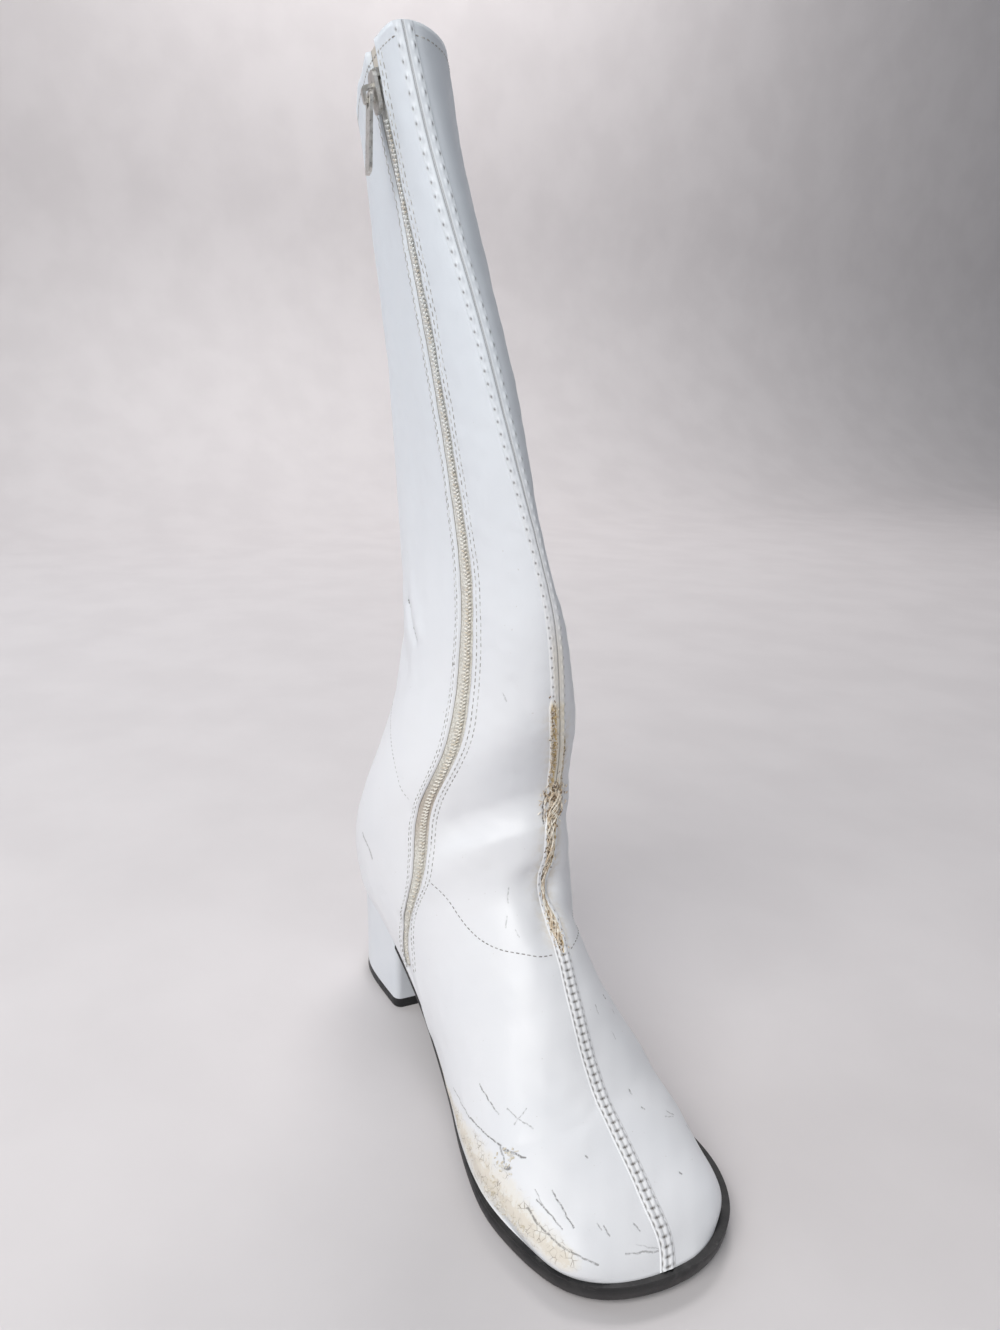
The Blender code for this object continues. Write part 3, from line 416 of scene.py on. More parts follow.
class UpperSurface:
    """The upper's outer surface before its folds, by run from the toe edge to the collar."""

    def __init__(self):
        curves = [[toe_edge(side) for side in (MEDIAL, LATERAL)]]
        curves += [foot_sections(row) for row in FOOT_ROWS]
        curves += [shaft_sections(row) for row in SHAFT_ROWS]
        curves = np.array(curves)
        steps = np.sqrt(np.mean(np.sum(np.diff(curves, axis=0) ** 2, axis=-1), axis=(1, 2)))
        self.runs = np.append(0.0, np.cumsum(steps))
        self.skin = SmoothCurve(self.runs, curves)
        names = ["toe edge"] + [row.name for row in FOOT_ROWS + SHAFT_ROWS]
        self.run_of = dict(zip(names, self.runs))
        places = [FOOT_ROWS[0].zip] + [row.zip for row in FOOT_ROWS + SHAFT_ROWS]
        self.zip_place = SmoothCurve(self.runs, np.array(places)[:, None])

    def curves(self, run):
        """Both halves at a run, kept on the sole along the foot and joined at the shaft's back seam."""
        pair = self.skin.at(run)[0]
        near_end = np.linspace(0.0, 1.0, CURVE_POINTS)[:, None] ** 4
        if run < self.run_of["seat"]:
            for half, side in zip(pair, (MEDIAL, LATERAL)):
                foot = nearest(FEATHER[side], half[-1, :2])
                half += near_end * (np.append(foot, edge_height(foot[1])) - half[-1])
        else:
            apart = 0.5 * (pair[1, -1] - pair[0, -1])
            pair[0] += near_end * apart
            pair[1] -= near_end * apart
        return pair


def distance_to_line(points, line):
    """Distance of every point from a line of points in space."""
    best = np.full(points.shape[:-1], 1e9)
    for start, end in zip(line[:-1], line[1:]):
        way = end - start
        share = np.clip(((points - start) @ way) / np.dot(way, way), 0.0, 1.0)
        gap = np.linalg.norm(points - start - share[..., None] * way, axis=-1)
        best = np.minimum(best, gap)
    return best


def slow_waves(points, seed, size, count=7):
    """Soft random undulation between about -1 and 1, from a few plane waves of a given size."""
    waves = np.random.default_rng(seed)
    total = np.zeros(points.shape[:-1])
    for _ in range(count):
        way = waves.normal(size=3)
        way *= 2.0 * math.pi / size / np.linalg.norm(way) * waves.uniform(0.6, 1.4)
        total += np.sin(points @ way + waves.uniform(0.0, 2.0 * math.pi))
    return total / math.sqrt(count)


class Skin:
    """Dense folded skin of the upper, with its own measures, in rows from the toe edge to the collar."""

    def __init__(self):
        surface = UpperSurface()
        count = int(np.ceil(surface.runs[-1] / (ROW_STEP * 0.96)))
        self.runs = np.linspace(0.0, surface.runs[-1], count)
        rows = []
        rounds = []
        self.zip_round = []
        even = np.linspace(0.0, 1.0, CURVE_POINTS)
        for run in self.runs:
            medial, lateral = surface.curves(run)
            lengths = [np.sum(np.linalg.norm(np.diff(half, axis=0), axis=1)) for half in (medial, lateral)]
            middle = float(surface.zip_place.at(run)[0, 0]) * lengths[0]
            half_zip = 0.5 * ZIP_WIDTH
            front, back = middle - half_zip, middle + half_zip
            places = list(np.linspace(0.0, front, FRONT_CELLS + 1))
            places += list(np.linspace(front, back, SLOT_CELLS + 1)[1:])
            places += list(np.linspace(back, lengths[0], BACK_CELLS + 1)[1:])
            left = np.array(places)
            right = np.linspace(0.0, lengths[1], LATERAL_CELLS + 1)[1:]
            left_points = SmoothCurve(even, medial).at(left / lengths[0])
            right_points = SmoothCurve(even, lateral).at(right / lengths[1])
            rows.append(np.vstack((left_points[::-1], right_points)))
            rounds.append(np.concatenate((-left[::-1], right)))
            self.zip_round.append(-middle)
        self.plain = to_world(rows)
        self.round = np.array(rounds)
        self.zip_round = np.array(self.zip_round)
        self.seam_column = FRONT_CELLS + SLOT_CELLS + BACK_CELLS
        seam = self.plain[:, self.seam_column]
        self.forward = run_along(seam)
        self.zip_from = np.interp(surface.run_of[ZIP_FOOT_ROW], self.runs, self.forward)
        self.seat_from = np.interp(surface.run_of["seat"], self.runs, self.forward)
        self.zip_distance = self.round - self.zip_round[:, None]
        self.ease_ankle(*EASED)
        self.points = self.plain + self.normals_of(self.plain) * self.lift()[..., None]
        self.normals = self.normals_of(self.points)

    def ease_ankle(self, start, end):
        """Rounds the inner side where the foot's upright sections turn into the shaft's level ones."""
        low, high = np.searchsorted(self.forward, (start, end))
        span = self.forward[high] - self.forward[low]
        ends = [self.plain[low], self.plain[high]]
        slopes = [span * (self.plain[k + 3] - self.plain[k - 3]) / (self.forward[k + 3] - self.forward[k - 3])
                  for k in (low, high)]
        for row in range(low + 1, high):
            t = (self.forward[row] - self.forward[low]) / span
            eased = (2 * t ** 3 - 3 * t ** 2 + 1) * ends[0] + (3 * t ** 2 - 2 * t ** 3) * ends[1]
            eased = eased + (t ** 3 - 2 * t ** 2 + t) * slopes[0] + (t ** 3 - t ** 2) * slopes[1]
            side = smooth_step(*EASED_FROM_SEAM, -self.round[row])
            side = side * smooth_step(*EASED_FROM_BACK, self.round[row] - self.round[row][0])
            self.plain[row] += side[:, None] * (eased - self.plain[row])

    def normals_of(self, points):
        """Outward unit normals of a grid of points."""
        up = np.gradient(points, axis=0)
        out = np.gradient(points, axis=1)
        normal = np.cross(out, up)
        return normal / np.maximum(np.linalg.norm(normal, axis=-1), 1e-12)[..., None]

    def lift(self):
        """How far the folds, dents, waves and zip lips move the skin outward."""
        lift = np.zeros(self.round.shape)
        for fold in FOLDS:
            line = [self.plain_at(forward * MM, round_ * MM) for forward, round_ in fold.line]
            near = distance_to_line(self.plain, smooth_line(line, 6)) / (fold.width * MM)
            lift -= fold.depth * MM * np.exp(-near ** 2)
        forward = self.forward[:, None]
        slack = smooth_step(*SLACK, forward)
        lift += 0.00055 * slack * slow_waves(self.plain, 3, 0.075)
        lift += 0.00022 * slow_waves(self.plain, 5, 0.030)
        lift += 0.00009 * slow_waves(self.plain, 9, 0.011, 12)
        in_zip = smooth_step(self.zip_from - 0.004, self.zip_from + 0.004, forward)
        beside = np.abs(self.zip_distance) - 0.5 * ZIP_WIDTH - ZIP_LIP_OFFSET
        lift += ZIP_LIP_HEIGHT * np.exp(-(beside / ZIP_LIP_WIDTH) ** 2) * in_zip
        return lift * smooth_step(0.0, 0.006, self.edge_distance())

    def edge_distance(self):
        """Distance round the boot from the sole's edge, large on the closed shaft."""
        ends = np.minimum(self.round - self.round[:, :1], self.round[:, -1:] - self.round)
        closed = smooth_step(self.seat_from - 0.006, self.seat_from + 0.004, self.forward)[:, None]
        low = np.minimum(ends, self.forward[:, None])
        return low + closed * 0.02

    def plain_at(self, forward, round_):
        """One point of the skin before its folds."""
        row = np.clip(np.searchsorted(self.forward, forward), 1, len(self.forward) - 1)
        share = (forward - self.forward[row - 1]) / (self.forward[row] - self.forward[row - 1])
        ends = [np.array([np.interp(round_, self.round[k], self.plain[k, :, axis]) for axis in range(3)])
                for k in (row - 1, row)]
        return ends[0] * (1.0 - share) + ends[1] * share

    def at(self, forward, rounds):
        """Points and normals of the folded skin at one forward place and several round ones."""
        rounds = np.atleast_1d(rounds)
        row = int(np.clip(np.searchsorted(self.forward, forward), 1, len(self.forward) - 1))
        share = (forward - self.forward[row - 1]) / (self.forward[row] - self.forward[row - 1])
        share = min(max(share, 0.0), 1.0)
        made = []
        for grid in (self.points, self.normals):
            low, high = [np.column_stack([np.interp(rounds, self.round[k], grid[k, :, axis])
                                          for axis in range(3)]) for k in (row - 1, row)]
            made.append(low * (1.0 - share) + high * share)
        made[1] /= np.linalg.norm(made[1], axis=1)[:, None]
        return made

    def zip_at(self, forward):
        """Round place of the zip's middle."""
        return float(np.interp(forward, self.forward, self.zip_round))

    def line_on(self, line, step):
        """Evenly spaced points and normals along a line of mm places on the skin."""
        dense = smooth_line([np.array(p) * MM for p in line], 12)
        found = [self.at(forward, round_) for forward, round_ in dense]
        points = np.array([f[0][0] for f in found])
        normals = np.array([f[1][0] for f in found])
        run = run_along(points)
        at = np.arange(0.5 * step, run[-1], step)
        return spread_at(points, run, at), spread_at(normals, run, at)


def smooth_line(line, share_count):
    """A smooth line through a few points, with several points for each stretch."""
    line = np.array(line, float)
    knots = np.arange(len(line), dtype=float)
    at = np.linspace(0.0, knots[-1], (len(line) - 1) * share_count + 1)
    return SmoothCurve(knots, line).at(at)


def in_scene(name, data):
    """Adds an object to the scene."""
    made = bpy.data.objects.new(name, data)
    bpy.context.scene.collection.objects.link(made)
    return made


def smooth_object(name, mesh, material):
    """Adds a smooth mesh object with one material."""
    mesh.materials.append(material)
    mesh.polygons.foreach_set("use_smooth", [True] * len(mesh.polygons))
    return in_scene(name, mesh)


def new_object(name, mesh, material):
    """Adds a smooth mesh object that rides on the boot."""
    made = smooth_object(name, mesh, material)
    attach(made, "boot")
    return made


def add_shoe_uv(mesh, measures):
    """Stores the forward and round measures of each point as the mesh's UV map."""
    layer = mesh.uv_layers.new(name="shoe")
    corners = np.zeros(len(mesh.loops), int)
    mesh.loops.foreach_get("vertex_index", corners)
    layer.data.foreach_set("uv", np.array(measures, np.float32).reshape(-1, 2)[corners].ravel())


def grid_mesh(name, points, skip=None, uv=None, flip=False):
    """Mesh of a grid of points; skip marks cells to leave out and uv holds two measures a point."""
    rows, columns = points.shape[:2]
    index = np.arange(rows * columns).reshape(rows, columns)
    quads = np.stack((index[:-1, :-1], index[:-1, 1:], index[1:, 1:], index[1:, :-1]), axis=-1)
    if skip is not None:
        quads = quads[~skip]
    quads = quads.reshape(-1, 4)
    if flip:
        quads = quads[:, ::-1]
    mesh = bpy.data.meshes.new(name)
    mesh.from_pydata(points.reshape(-1, 3).tolist(), [], quads.tolist())
    if uv is not None:
        add_shoe_uv(mesh, uv)
    return mesh


def add_rim(mesh, depth):
    """Turns every open edge inward by the wall's thickness and joins the back seam."""
    work = bmesh.new()
    work.from_mesh(mesh)
    bmesh.ops.remove_doubles(work, verts=work.verts, dist=0.00002)
    bmesh.ops.recalc_face_normals(work, faces=work.faces)
    work.normal_update()
    open_edges = [edge for edge in work.edges if len(edge.link_faces) == 1]
    normals = {vert: vert.normal.copy() for edge in open_edges for vert in edge.verts}
    made = bmesh.ops.extrude_edge_only(work, edges=open_edges)
    pairs = {}
    for vert in made["geom"]:
        if isinstance(vert, bmesh.types.BMVert):
            source = min((e.other_vert(vert) for e in vert.link_edges if e.other_vert(vert) in normals),
                         key=lambda other: (other.co - vert.co).length)
            pairs[vert] = normals[source]
    for vert, normal in pairs.items():
        vert.co -= normal * depth
    work.to_mesh(mesh)
    work.free()


class Parts:
    """Many small closed solids gathered in one mesh."""

    def __init__(self):
        self.points = []
        self.faces = []

    def add(self, points, sides):
        """Adds one closed solid through rings of points, all with the same number of sides."""
        start = len(self.points)
        last = start + len(points) - sides
        self.points.extend([tuple(p) for p in points])
        for low in range(start, last, sides):
            high = low + sides
            self.faces.extend([[low + k, low + (k + 1) % sides, high + (k + 1) % sides, high + k]
                               for k in range(sides)])
        self.faces.append([start + k for k in range(sides)][::-1])
        self.faces.append([last + k for k in range(sides)])

    def capsule(self, centre, way, normal, length, width, height, sides=6):
        """A stitch: a rounded bar along way, lying on the surface."""
        way = way / np.linalg.norm(way)
        side = np.cross(normal, way)
        side /= np.linalg.norm(side)
        up = np.cross(way, side)
        rings = ((-0.5, 0.35), (-0.32, 0.95), (0.32, 0.95), (0.5, 0.35))
        points = []
        for place_, swell in rings:
            for k in range(sides):
                angle = 2.0 * math.pi * k / sides
                points.append(centre + way * place_ * length + side * math.cos(angle) * 0.5 * width * swell
                              + up * math.sin(angle) * 0.5 * height * swell)
        self.add(points, sides)

    def tube(self, path, normals, radii, sides=6):
        """A round strand along a path."""
        ways = np.gradient(path, axis=0)
        ways /= np.linalg.norm(ways, axis=1)[:, None]
        asides = np.cross(normals, ways)
        asides /= np.linalg.norm(asides, axis=1)[:, None]
        ups = np.cross(ways, asides)
        points = [centre + radius * (math.cos(angle) * aside + math.sin(angle) * up)
                  for centre, radius, aside, up in zip(path, radii, asides, ups)
                  for angle in np.linspace(0.0, 2.0 * math.pi, sides, endpoint=False)]
        self.add(points, sides)

    def mesh(self, name):
        """The gathered mesh."""
        made = bpy.data.meshes.new(name)
        made.from_pydata(self.points, [], self.faces)
        return made


class Shader:
    """Short ways to build a material's nodes."""

    def __init__(self, name, colour, roughness, metallic=0.0):
        self.material = bpy.data.materials.new(name)
        self.material.use_nodes = True
        self.tree = self.material.node_tree
        self.base = self.tree.nodes["Principled BSDF"]
        self.set("Base Color", (*colour, 1.0))
        self.set("Roughness", roughness)
        self.set("Metallic", metallic)

    def set(self, socket, value):
        """Sets one of the shader's own values."""
        self.base.inputs[socket].default_value = value

    def node(self, kind, **settings):
        """Adds a node."""
        made = self.tree.nodes.new("ShaderNode" + kind)
        for key, value in settings.items():
            setattr(made, key, value)
        return made

    def link(self, output, target):
        """Links an output to an input socket."""
        self.tree.links.new(output, target)

    def feed(self, socket, output):
        """Links an output to one of the shader's own sockets."""
        self.link(output, self.base.inputs[socket])

    def measure(self, name):
        """One of the mesh's own measures."""
        return self.node("Attribute", attribute_name=name).outputs["Fac"]

    def math(self, operation, first, second=0.0, third=0.0, clamp=False):
        """One math node; each operand is a number or an output."""
        made = self.node("Math", operation=operation, use_clamp=clamp)
        for socket, value in zip(made.inputs, (first, second, third)):
            if isinstance(value, (int, float)):
                socket.default_value = value
            else:
                self.link(value, socket)
        return made.outputs[0]

    def times(self, first, second):
        """The product of two values."""
        return self.math("MULTIPLY", first, second)

    def noise(self, scale, detail=2.0, roughness=0.5, vector=None):
        """Noise in object space, or over a given vector."""
        made = self.node("TexNoise")
        made.inputs["Scale"].default_value = scale
        made.inputs["Detail"].default_value = detail
        made.inputs["Roughness"].default_value = roughness
        if vector is None:
            vector = self.node("TexCoord").outputs["Object"]
        self.link(vector, made.inputs["Vector"])
        return made.outputs["Fac"]

    def voronoi(self, scale, feature="F1"):
        """Cell distance in object space."""
        made = self.node("TexVoronoi", feature=feature)
        made.inputs["Scale"].default_value = scale
        self.link(self.node("TexCoord").outputs["Object"], made.inputs["Vector"])
        return made.outputs["Distance"]

    def range(self, value, low, high, to_low=0.0, to_high=1.0):
        """Maps a stretch of values, with smooth ends."""
        made = self.node("MapRange", interpolation_type="SMOOTHSTEP")
        self.link(value, made.inputs["Value"])
        for socket, number in zip(("From Min", "From Max", "To Min", "To Max"), (low, high, to_low, to_high)):
            made.inputs[socket].default_value = number
        return made.outputs["Result"]

    def mix(self, share, first, second):
        """Mixes two colours, each a tuple or an output."""
        made = self.node("Mix", data_type="RGBA")
        for socket, value in ((made.inputs[0], share), (made.inputs[6], first), (made.inputs[7], second)):
            if isinstance(value, tuple):
                socket.default_value = (*value, 1.0)
            elif isinstance(value, (int, float)):
                socket.default_value = value
            else:
                self.link(value, socket)
        return made.outputs[2]

    def bump(self, height, strength, distance, before=None):
        """Adds a bump, on top of another one if given, and returns its normal."""
        made = self.node("Bump")
        made.inputs["Strength"].default_value = strength
        made.inputs["Distance"].default_value = distance
        self.link(height, made.inputs["Height"])
        if before is not None:
            self.link(before, made.inputs["Normal"])
        return made.outputs["Normal"]

    def shoe_measures(self):
        """Forward and round measures in mm, from the shoe UV map."""
        split = self.node("SeparateXYZ")
        self.link(self.node("UVMap", uv_map="shoe").outputs["UV"], split.inputs[0])
        return split.outputs[0], split.outputs[1]

    def near_segment(self, forward, round_, start, end):
        """Distance in mm from a straight segment in shoe measures."""
        way = Vector((end[0] - start[0], end[1] - start[1]))
        length = max(way.length, 0.01)
        unit = way / length
        x = self.math("SUBTRACT", forward, start[0])
        y = self.math("SUBTRACT", round_, start[1])
        along = self.math("MULTIPLY_ADD", x, unit.x, self.times(y, unit.y))
        over = self.math("SUBTRACT", along, self.math("MINIMUM", self.math("MAXIMUM", along, 0.0), length))
        aside = self.math("MULTIPLY_ADD", x, -unit.y, self.times(y, unit.x))
        square = self.math("MULTIPLY_ADD", over, over, self.times(aside, aside))
        return self.math("SQRT", square)


def wear_amount(forward, round_):
    """How abraded the toe patch is at each skin point, from 0 to 1 and past its edge below 0."""
    line = smooth_line([np.append(p, w) for p, w in zip(WEAR_LINE, WEAR_HALF_WIDTHS)], 8)
    best = np.full(forward.shape, -9.0)
    for at_forward, at_round, width in line:
        gap = np.hypot(forward - at_forward, round_ - at_round)
        best = np.maximum(best, 1.0 - gap / width)
    return best


def coated_white():
    """White coated upper: soft grain, yellowed and abraded places, scratches and grime, and a painted cool
    bluish shade up the shaft.
    """
    made = Shader("coated_white", (0.80, 0.82, 0.86), 0.30)
    forward, round_ = made.shoe_measures()
    wobble = made.noise(260.0, 2.0)
    wobbled = made.math("MULTIPLY_ADD", made.math("SUBTRACT", wobble, 0.5), 2.2, forward)
    wobbled_round = made.math("MULTIPLY_ADD", made.math("SUBTRACT", made.noise(330.0), 0.5), 1.6, round_)
    scratch = None
    for item in SCRATCHES:
        near = made.near_segment(wobbled, wobbled_round, item.start, item.end)
        mark = made.range(near, 0.25 * item.width, 0.75 * item.width + 0.12, item.dark, 0.0)
        scratch = mark if scratch is None else made.math("MAXIMUM", scratch, mark)
    broken = made.range(made.noise(900.0, 3.0, 0.6), 0.38, 0.56, 0.35, 1.0)
    scratch = made.times(scratch, broken)
    wear = made.measure("wear")
    torn = made.measure("torn")
    cracks = made.range(made.voronoi(420.0, "DISTANCE_TO_EDGE"), 0.0, 0.05, 1.0, 0.0)
    patch = made.math("ADD", wear, made.math("MULTIPLY_ADD", made.noise(150.0, 4.0, 0.65), 1.1, -0.55))
    worn = made.range(patch, 0.05, 0.55)
    ragged = made.math("MULTIPLY_ADD", made.noise(520.0, 4.0, 0.7), 1.3, -0.65)
    bare = made.range(made.math("ADD", patch, ragged), 0.55, 0.85)
    cracked = made.times(cracks, made.times(worn, made.range(made.noise(210.0, 2.0), 0.45, 0.62)))
    # Painted shade: the white turns greyer and bluer with height, standing in for the cool shade on the
    # shaft.
    height = made.node("SeparateXYZ")
    made.link(made.node("TexCoord").outputs["Object"], height.inputs[0])
    high = made.range(height.outputs[2], 0.12, 0.40)
    colour = made.mix(high, (0.82, 0.83, 0.855), (0.73, 0.785, 0.84))
    blotch = made.range(made.noise(26.0, 3.0), 0.35, 0.75)
    colour = made.mix(made.times(blotch, 0.20), colour, (0.72, 0.75, 0.80))
    colour = made.mix(made.times(worn, 0.85), colour, (0.82, 0.79, 0.73))
    colour = made.mix(made.times(bare, 0.6), colour, (0.72, 0.65, 0.54))
    near_tear = made.times(torn, made.range(made.noise(300.0, 3.0), 0.35, 0.7, 0.2, 1.0))
    colour = made.mix(near_tear, colour, (0.62, 0.53, 0.38))
    specks = made.range(made.noise(620.0, 2.0), 0.735, 0.80, 0.0, 0.4)
    colour = made.mix(specks, colour, (0.40, 0.36, 0.30))
    colour = made.mix(made.times(cracked, 0.8), colour, (0.26, 0.20, 0.14))
    colour = made.mix(scratch, colour, (0.10, 0.09, 0.08))
    made.feed("Base Color", colour)
    rough = made.range(made.noise(70.0, 3.0), 0.3, 0.7, 0.40, 0.50)
    rough = made.math("MULTIPLY_ADD", worn, 0.30, rough)
    rough = made.math("MULTIPLY_ADD", torn, 0.25, rough, clamp=True)
    made.feed("Roughness", rough)
    normal = made.bump(made.noise(2600.0, 2.0), 0.10, 0.0001)
    normal = made.bump(made.voronoi(1500.0), 0.06, 0.0001, normal)
    normal = made.bump(made.noise(160.0, 4.0, 0.6), 0.14, 0.0006, normal)
    hollow = made.math("SUBTRACT", made.times(patch, worn), made.math("ADD", scratch, cracked))
    normal = made.bump(hollow, 0.55, 0.0005, normal)
    made.feed("Normal", normal)
    made.set("Coat Weight", 0.12)
    made.set("Coat Roughness", 0.35)
    return made.material


def seam_white():
    """The seam's puffed white strip, near black in its gap and stitch holes as painted shade with some grime,
    bluer up the shaft as painted cool shade, cream, ochre and brown where it is torn.
    """
    made = Shader("seam_white", (0.80, 0.81, 0.83), 0.36)
    tan = made.measure("tan")
    dirt_and_hollow_shade = made.measure("dirt_and_hollow_shade")
    ragged = made.math("MULTIPLY_ADD", made.noise(700.0, 4.0, 0.7), 0.7, -0.35)
    shade = made.math("MULTIPLY_ADD", ragged, made.range(tan, 0.05, 0.5), tan)
    ramp = made.node("ValToRGB")
    made.link(shade, ramp.inputs["Fac"])
    stops = ((0.0, (0.79, 0.80, 0.82)), (0.30, (0.79, 0.75, 0.66)), (0.60, (0.58, 0.44, 0.23)),
             (1.0, (0.14, 0.095, 0.06)))
    while len(ramp.color_ramp.elements) < len(stops):
        ramp.color_ramp.elements.new(0.5)
    for element, (position, colour) in zip(ramp.color_ramp.elements, stops):
        element.position = position
        element.color = (*colour, 1.0)
    forward, _ = made.shoe_measures()
    # Painted cool shade: the strip turns bluer and greyer up the shaft.
    high = made.times(made.range(forward, 262.0, 400.0), 0.85)
    colour = made.mix(high, ramp.outputs["Color"], (0.73, 0.785, 0.84))
    # Near black where the seam dips: painted shade in its gap and stitch holes, together with some grime.
    colour = made.mix(dirt_and_hollow_shade, colour, (0.12, 0.105, 0.09))
    made.feed("Base Color", colour)
    made.feed("Roughness", made.range(shade, 0.15, 0.50, 0.36, 0.85))
    normal = made.bump(made.noise(2200.0, 2.0), 0.12, 0.0001)
    normal = made.bump(shade, 0.5, 0.0006, normal)
    made.feed("Normal", normal)
    return made.material


def plain_thread(name, light, dark, roughness=0.7):
    """Sewing thread with twist and uneven grime."""
    made = Shader(name, light, roughness)
    colour = made.mix(made.range(made.noise(420.0, 3.0), 0.35, 0.70), dark, light)
    made.feed("Base Color", colour)
    made.feed("Normal", made.bump(made.noise(4200.0, 2.0), 0.5, 0.0001))
    return made.material


def zip_cloth():
    """Cream zip tape with a grainy weave, browner near its bend, bluer and greyer up the shaft as painted
    cool shade, and with a painted shadow of the flap along the gap at its back edge.
    """
    made = Shader("zip_cloth", (0.72, 0.69, 0.58), 0.75)
    forward, round_ = made.shoe_measures()
    ribs = made.math("SINE", made.times(round_, 2.0 * math.pi / 0.62))
    picks = made.math("SINE", made.times(forward, 2.0 * math.pi / 0.55))
    weave = made.math("MULTIPLY_ADD", picks, 0.5, ribs)
    grain = made.range(made.noise(950.0, 2.0, 0.6), 0.38, 0.64)
    bend = made.math("ABSOLUTE", made.math("SUBTRACT", forward, 212.0))
    brown = made.times(made.range(bend, 3.0, 22.0, 1.0, 0.0), 0.75)
    # Painted cool shade: the tape turns bluer and greyer up the shaft.
    high = made.range(forward, 280.0, 400.0)
    colour = made.mix(high, (0.87, 0.86, 0.80), (0.80, 0.83, 0.83))
    colour = made.mix(brown, colour, (0.62, 0.53, 0.45))
    colour = made.mix(made.times(grain, 0.55), colour, (0.46, 0.41, 0.33))
    # Painted shadow of the overhanging flap along the tape's back edge.
    gap = made.range(round_, -5.5, -4.9, 1.0, 0.0)
    colour = made.mix(made.times(gap, 0.85), colour, (0.16, 0.14, 0.125))
    made.feed("Base Color", colour)
    made.feed("Normal", made.bump(made.math("MULTIPLY_ADD", grain, -1.5, weave), 0.6, 0.00025))
    made.set("Sheen Weight", 0.2)
    return made.material


def zip_coil_plastic():
    """Cream coil with grime between its turns, bluer and greyer up the shaft as painted cool shade."""
    made = Shader("zip_coil_plastic", (0.80, 0.78, 0.70), 0.42)
    forward, _ = made.shoe_measures()
    # Painted cool shade: the coil turns bluer and greyer up the shaft.
    high = made.range(forward, 280.0, 400.0)
    worn = made.range(made.noise(420.0, 3.0), 0.42, 0.66, 0.0, 0.65)
    colour = made.mix(high, (0.88, 0.86, 0.79), (0.80, 0.83, 0.82))
    colour = made.mix(worn, colour, (0.58, 0.48, 0.34))
    made.feed("Base Color", colour)
    return made.material


def black_rubber():
    """Black rubber, darker along its top edge as painted shade, with rubbed charcoal below and dust."""
    made = Shader("black_rubber_worn", (0.018, 0.018, 0.019), 0.5)
    # The low measure is 0 on the upper band of the side: that band is painted shade, near black.
    low = made.measure("low")
    rub = made.range(made.noise(120.0, 4.0, 0.65), 0.45, 0.72)
    colour = made.mix(low, (0.010, 0.010, 0.011), (0.034, 0.032, 0.033))
    colour = made.mix(made.times(rub, 0.5), colour, (0.060, 0.057, 0.056))
    streak = made.node("Mapping")
    streak.inputs["Scale"].default_value = (0.3, 0.3, 2.5)
    made.link(made.node("TexCoord").outputs["Object"], streak.inputs["Vector"])
    lines = made.range(made.noise(700.0, 3.0, 0.6, streak.outputs["Vector"]), 0.62, 0.74)
    colour = made.mix(made.times(lines, 0.35), colour, (0.13, 0.125, 0.12))
    made.feed("Base Color", colour)
    made.feed("Roughness", made.range(made.noise(240.0, 3.0), 0.3, 0.7, 0.42, 0.62))
    normal = made.bump(made.noise(1400.0, 3.0, 0.6), 0.25, 0.0002)
    made.feed("Normal", made.bump(lines, 0.2, 0.0002, normal))
    return made.material


def heel_white():
    """Covered heel in the upper's material, painted a little darker and bluer as shade, with grey rubs."""
    made = Shader("heel_white", (0.74, 0.77, 0.81), 0.36)
    soft = made.range(made.noise(40.0, 3.0), 0.35, 0.75)
    # Painted shade: a darker, bluer copy of the upper's white.
    colour = made.mix(made.times(soft, 0.3), (0.73, 0.76, 0.80), (0.62, 0.66, 0.72))
    grey = made.range(made.noise(310.0, 3.0, 0.6), 0.70, 0.80)
    colour = made.mix(made.times(grey, 0.5), colour, (0.36, 0.37, 0.40))
    made.feed("Base Color", colour)
    normal = made.bump(made.noise(2400.0, 2.0), 0.10, 0.0001)
    made.feed("Normal", made.bump(made.noise(90.0, 3.0), 0.12, 0.0006, normal))
    made.set("Coat Weight", 0.2)
    made.set("Coat Roughness", 0.25)
    return made.material


def lining_cloth():
    """Off-white brushed lining."""
    made = Shader("lining_cloth", (0.62, 0.58, 0.52), 0.85)
    colour = made.mix(made.range(made.noise(60.0, 3.0), 0.3, 0.7), (0.55, 0.51, 0.45), (0.66, 0.62, 0.56))
    made.feed("Base Color", colour)
    made.feed("Normal", made.bump(made.noise(1800.0, 2.0), 0.4, 0.0002))
    made.set("Sheen Weight", 0.15)
    return made.material


def dull_metal():
    """Dull plated zip hardware with handling marks."""
    made = Shader("dull_metal", (0.62, 0.61, 0.58), 0.34, 1.0)
    marks = made.range(made.noise(500.0, 4.0, 0.6), 0.40, 0.70)
    made.feed("Base Color", made.mix(marks, (0.66, 0.65, 0.62), (0.50, 0.48, 0.44)))
    made.feed("Roughness", made.range(made.noise(900.0, 3.0), 0.3, 0.7, 0.26, 0.46))
    made.feed("Normal", made.bump(made.noise(1500.0, 3.0), 0.1, 0.0001))
    return made.material


def torn_share(forward_mm):
    """How torn the front seam is at a place along it."""
    rise = smooth_step(TORN_FROM - 14.0, TORN_FROM + 8.0, forward_mm)
    return rise * (1.0 - smooth_step(TORN_TO - 10.0, TORN_TO + 4.0, forward_mm))


def add_measure(mesh, name, values):
    """Stores one number for each point of a mesh."""
    attribute = mesh.attributes.new(name, "FLOAT", "POINT")
    attribute.data.foreach_set("value", np.asarray(values, np.float32).ravel())


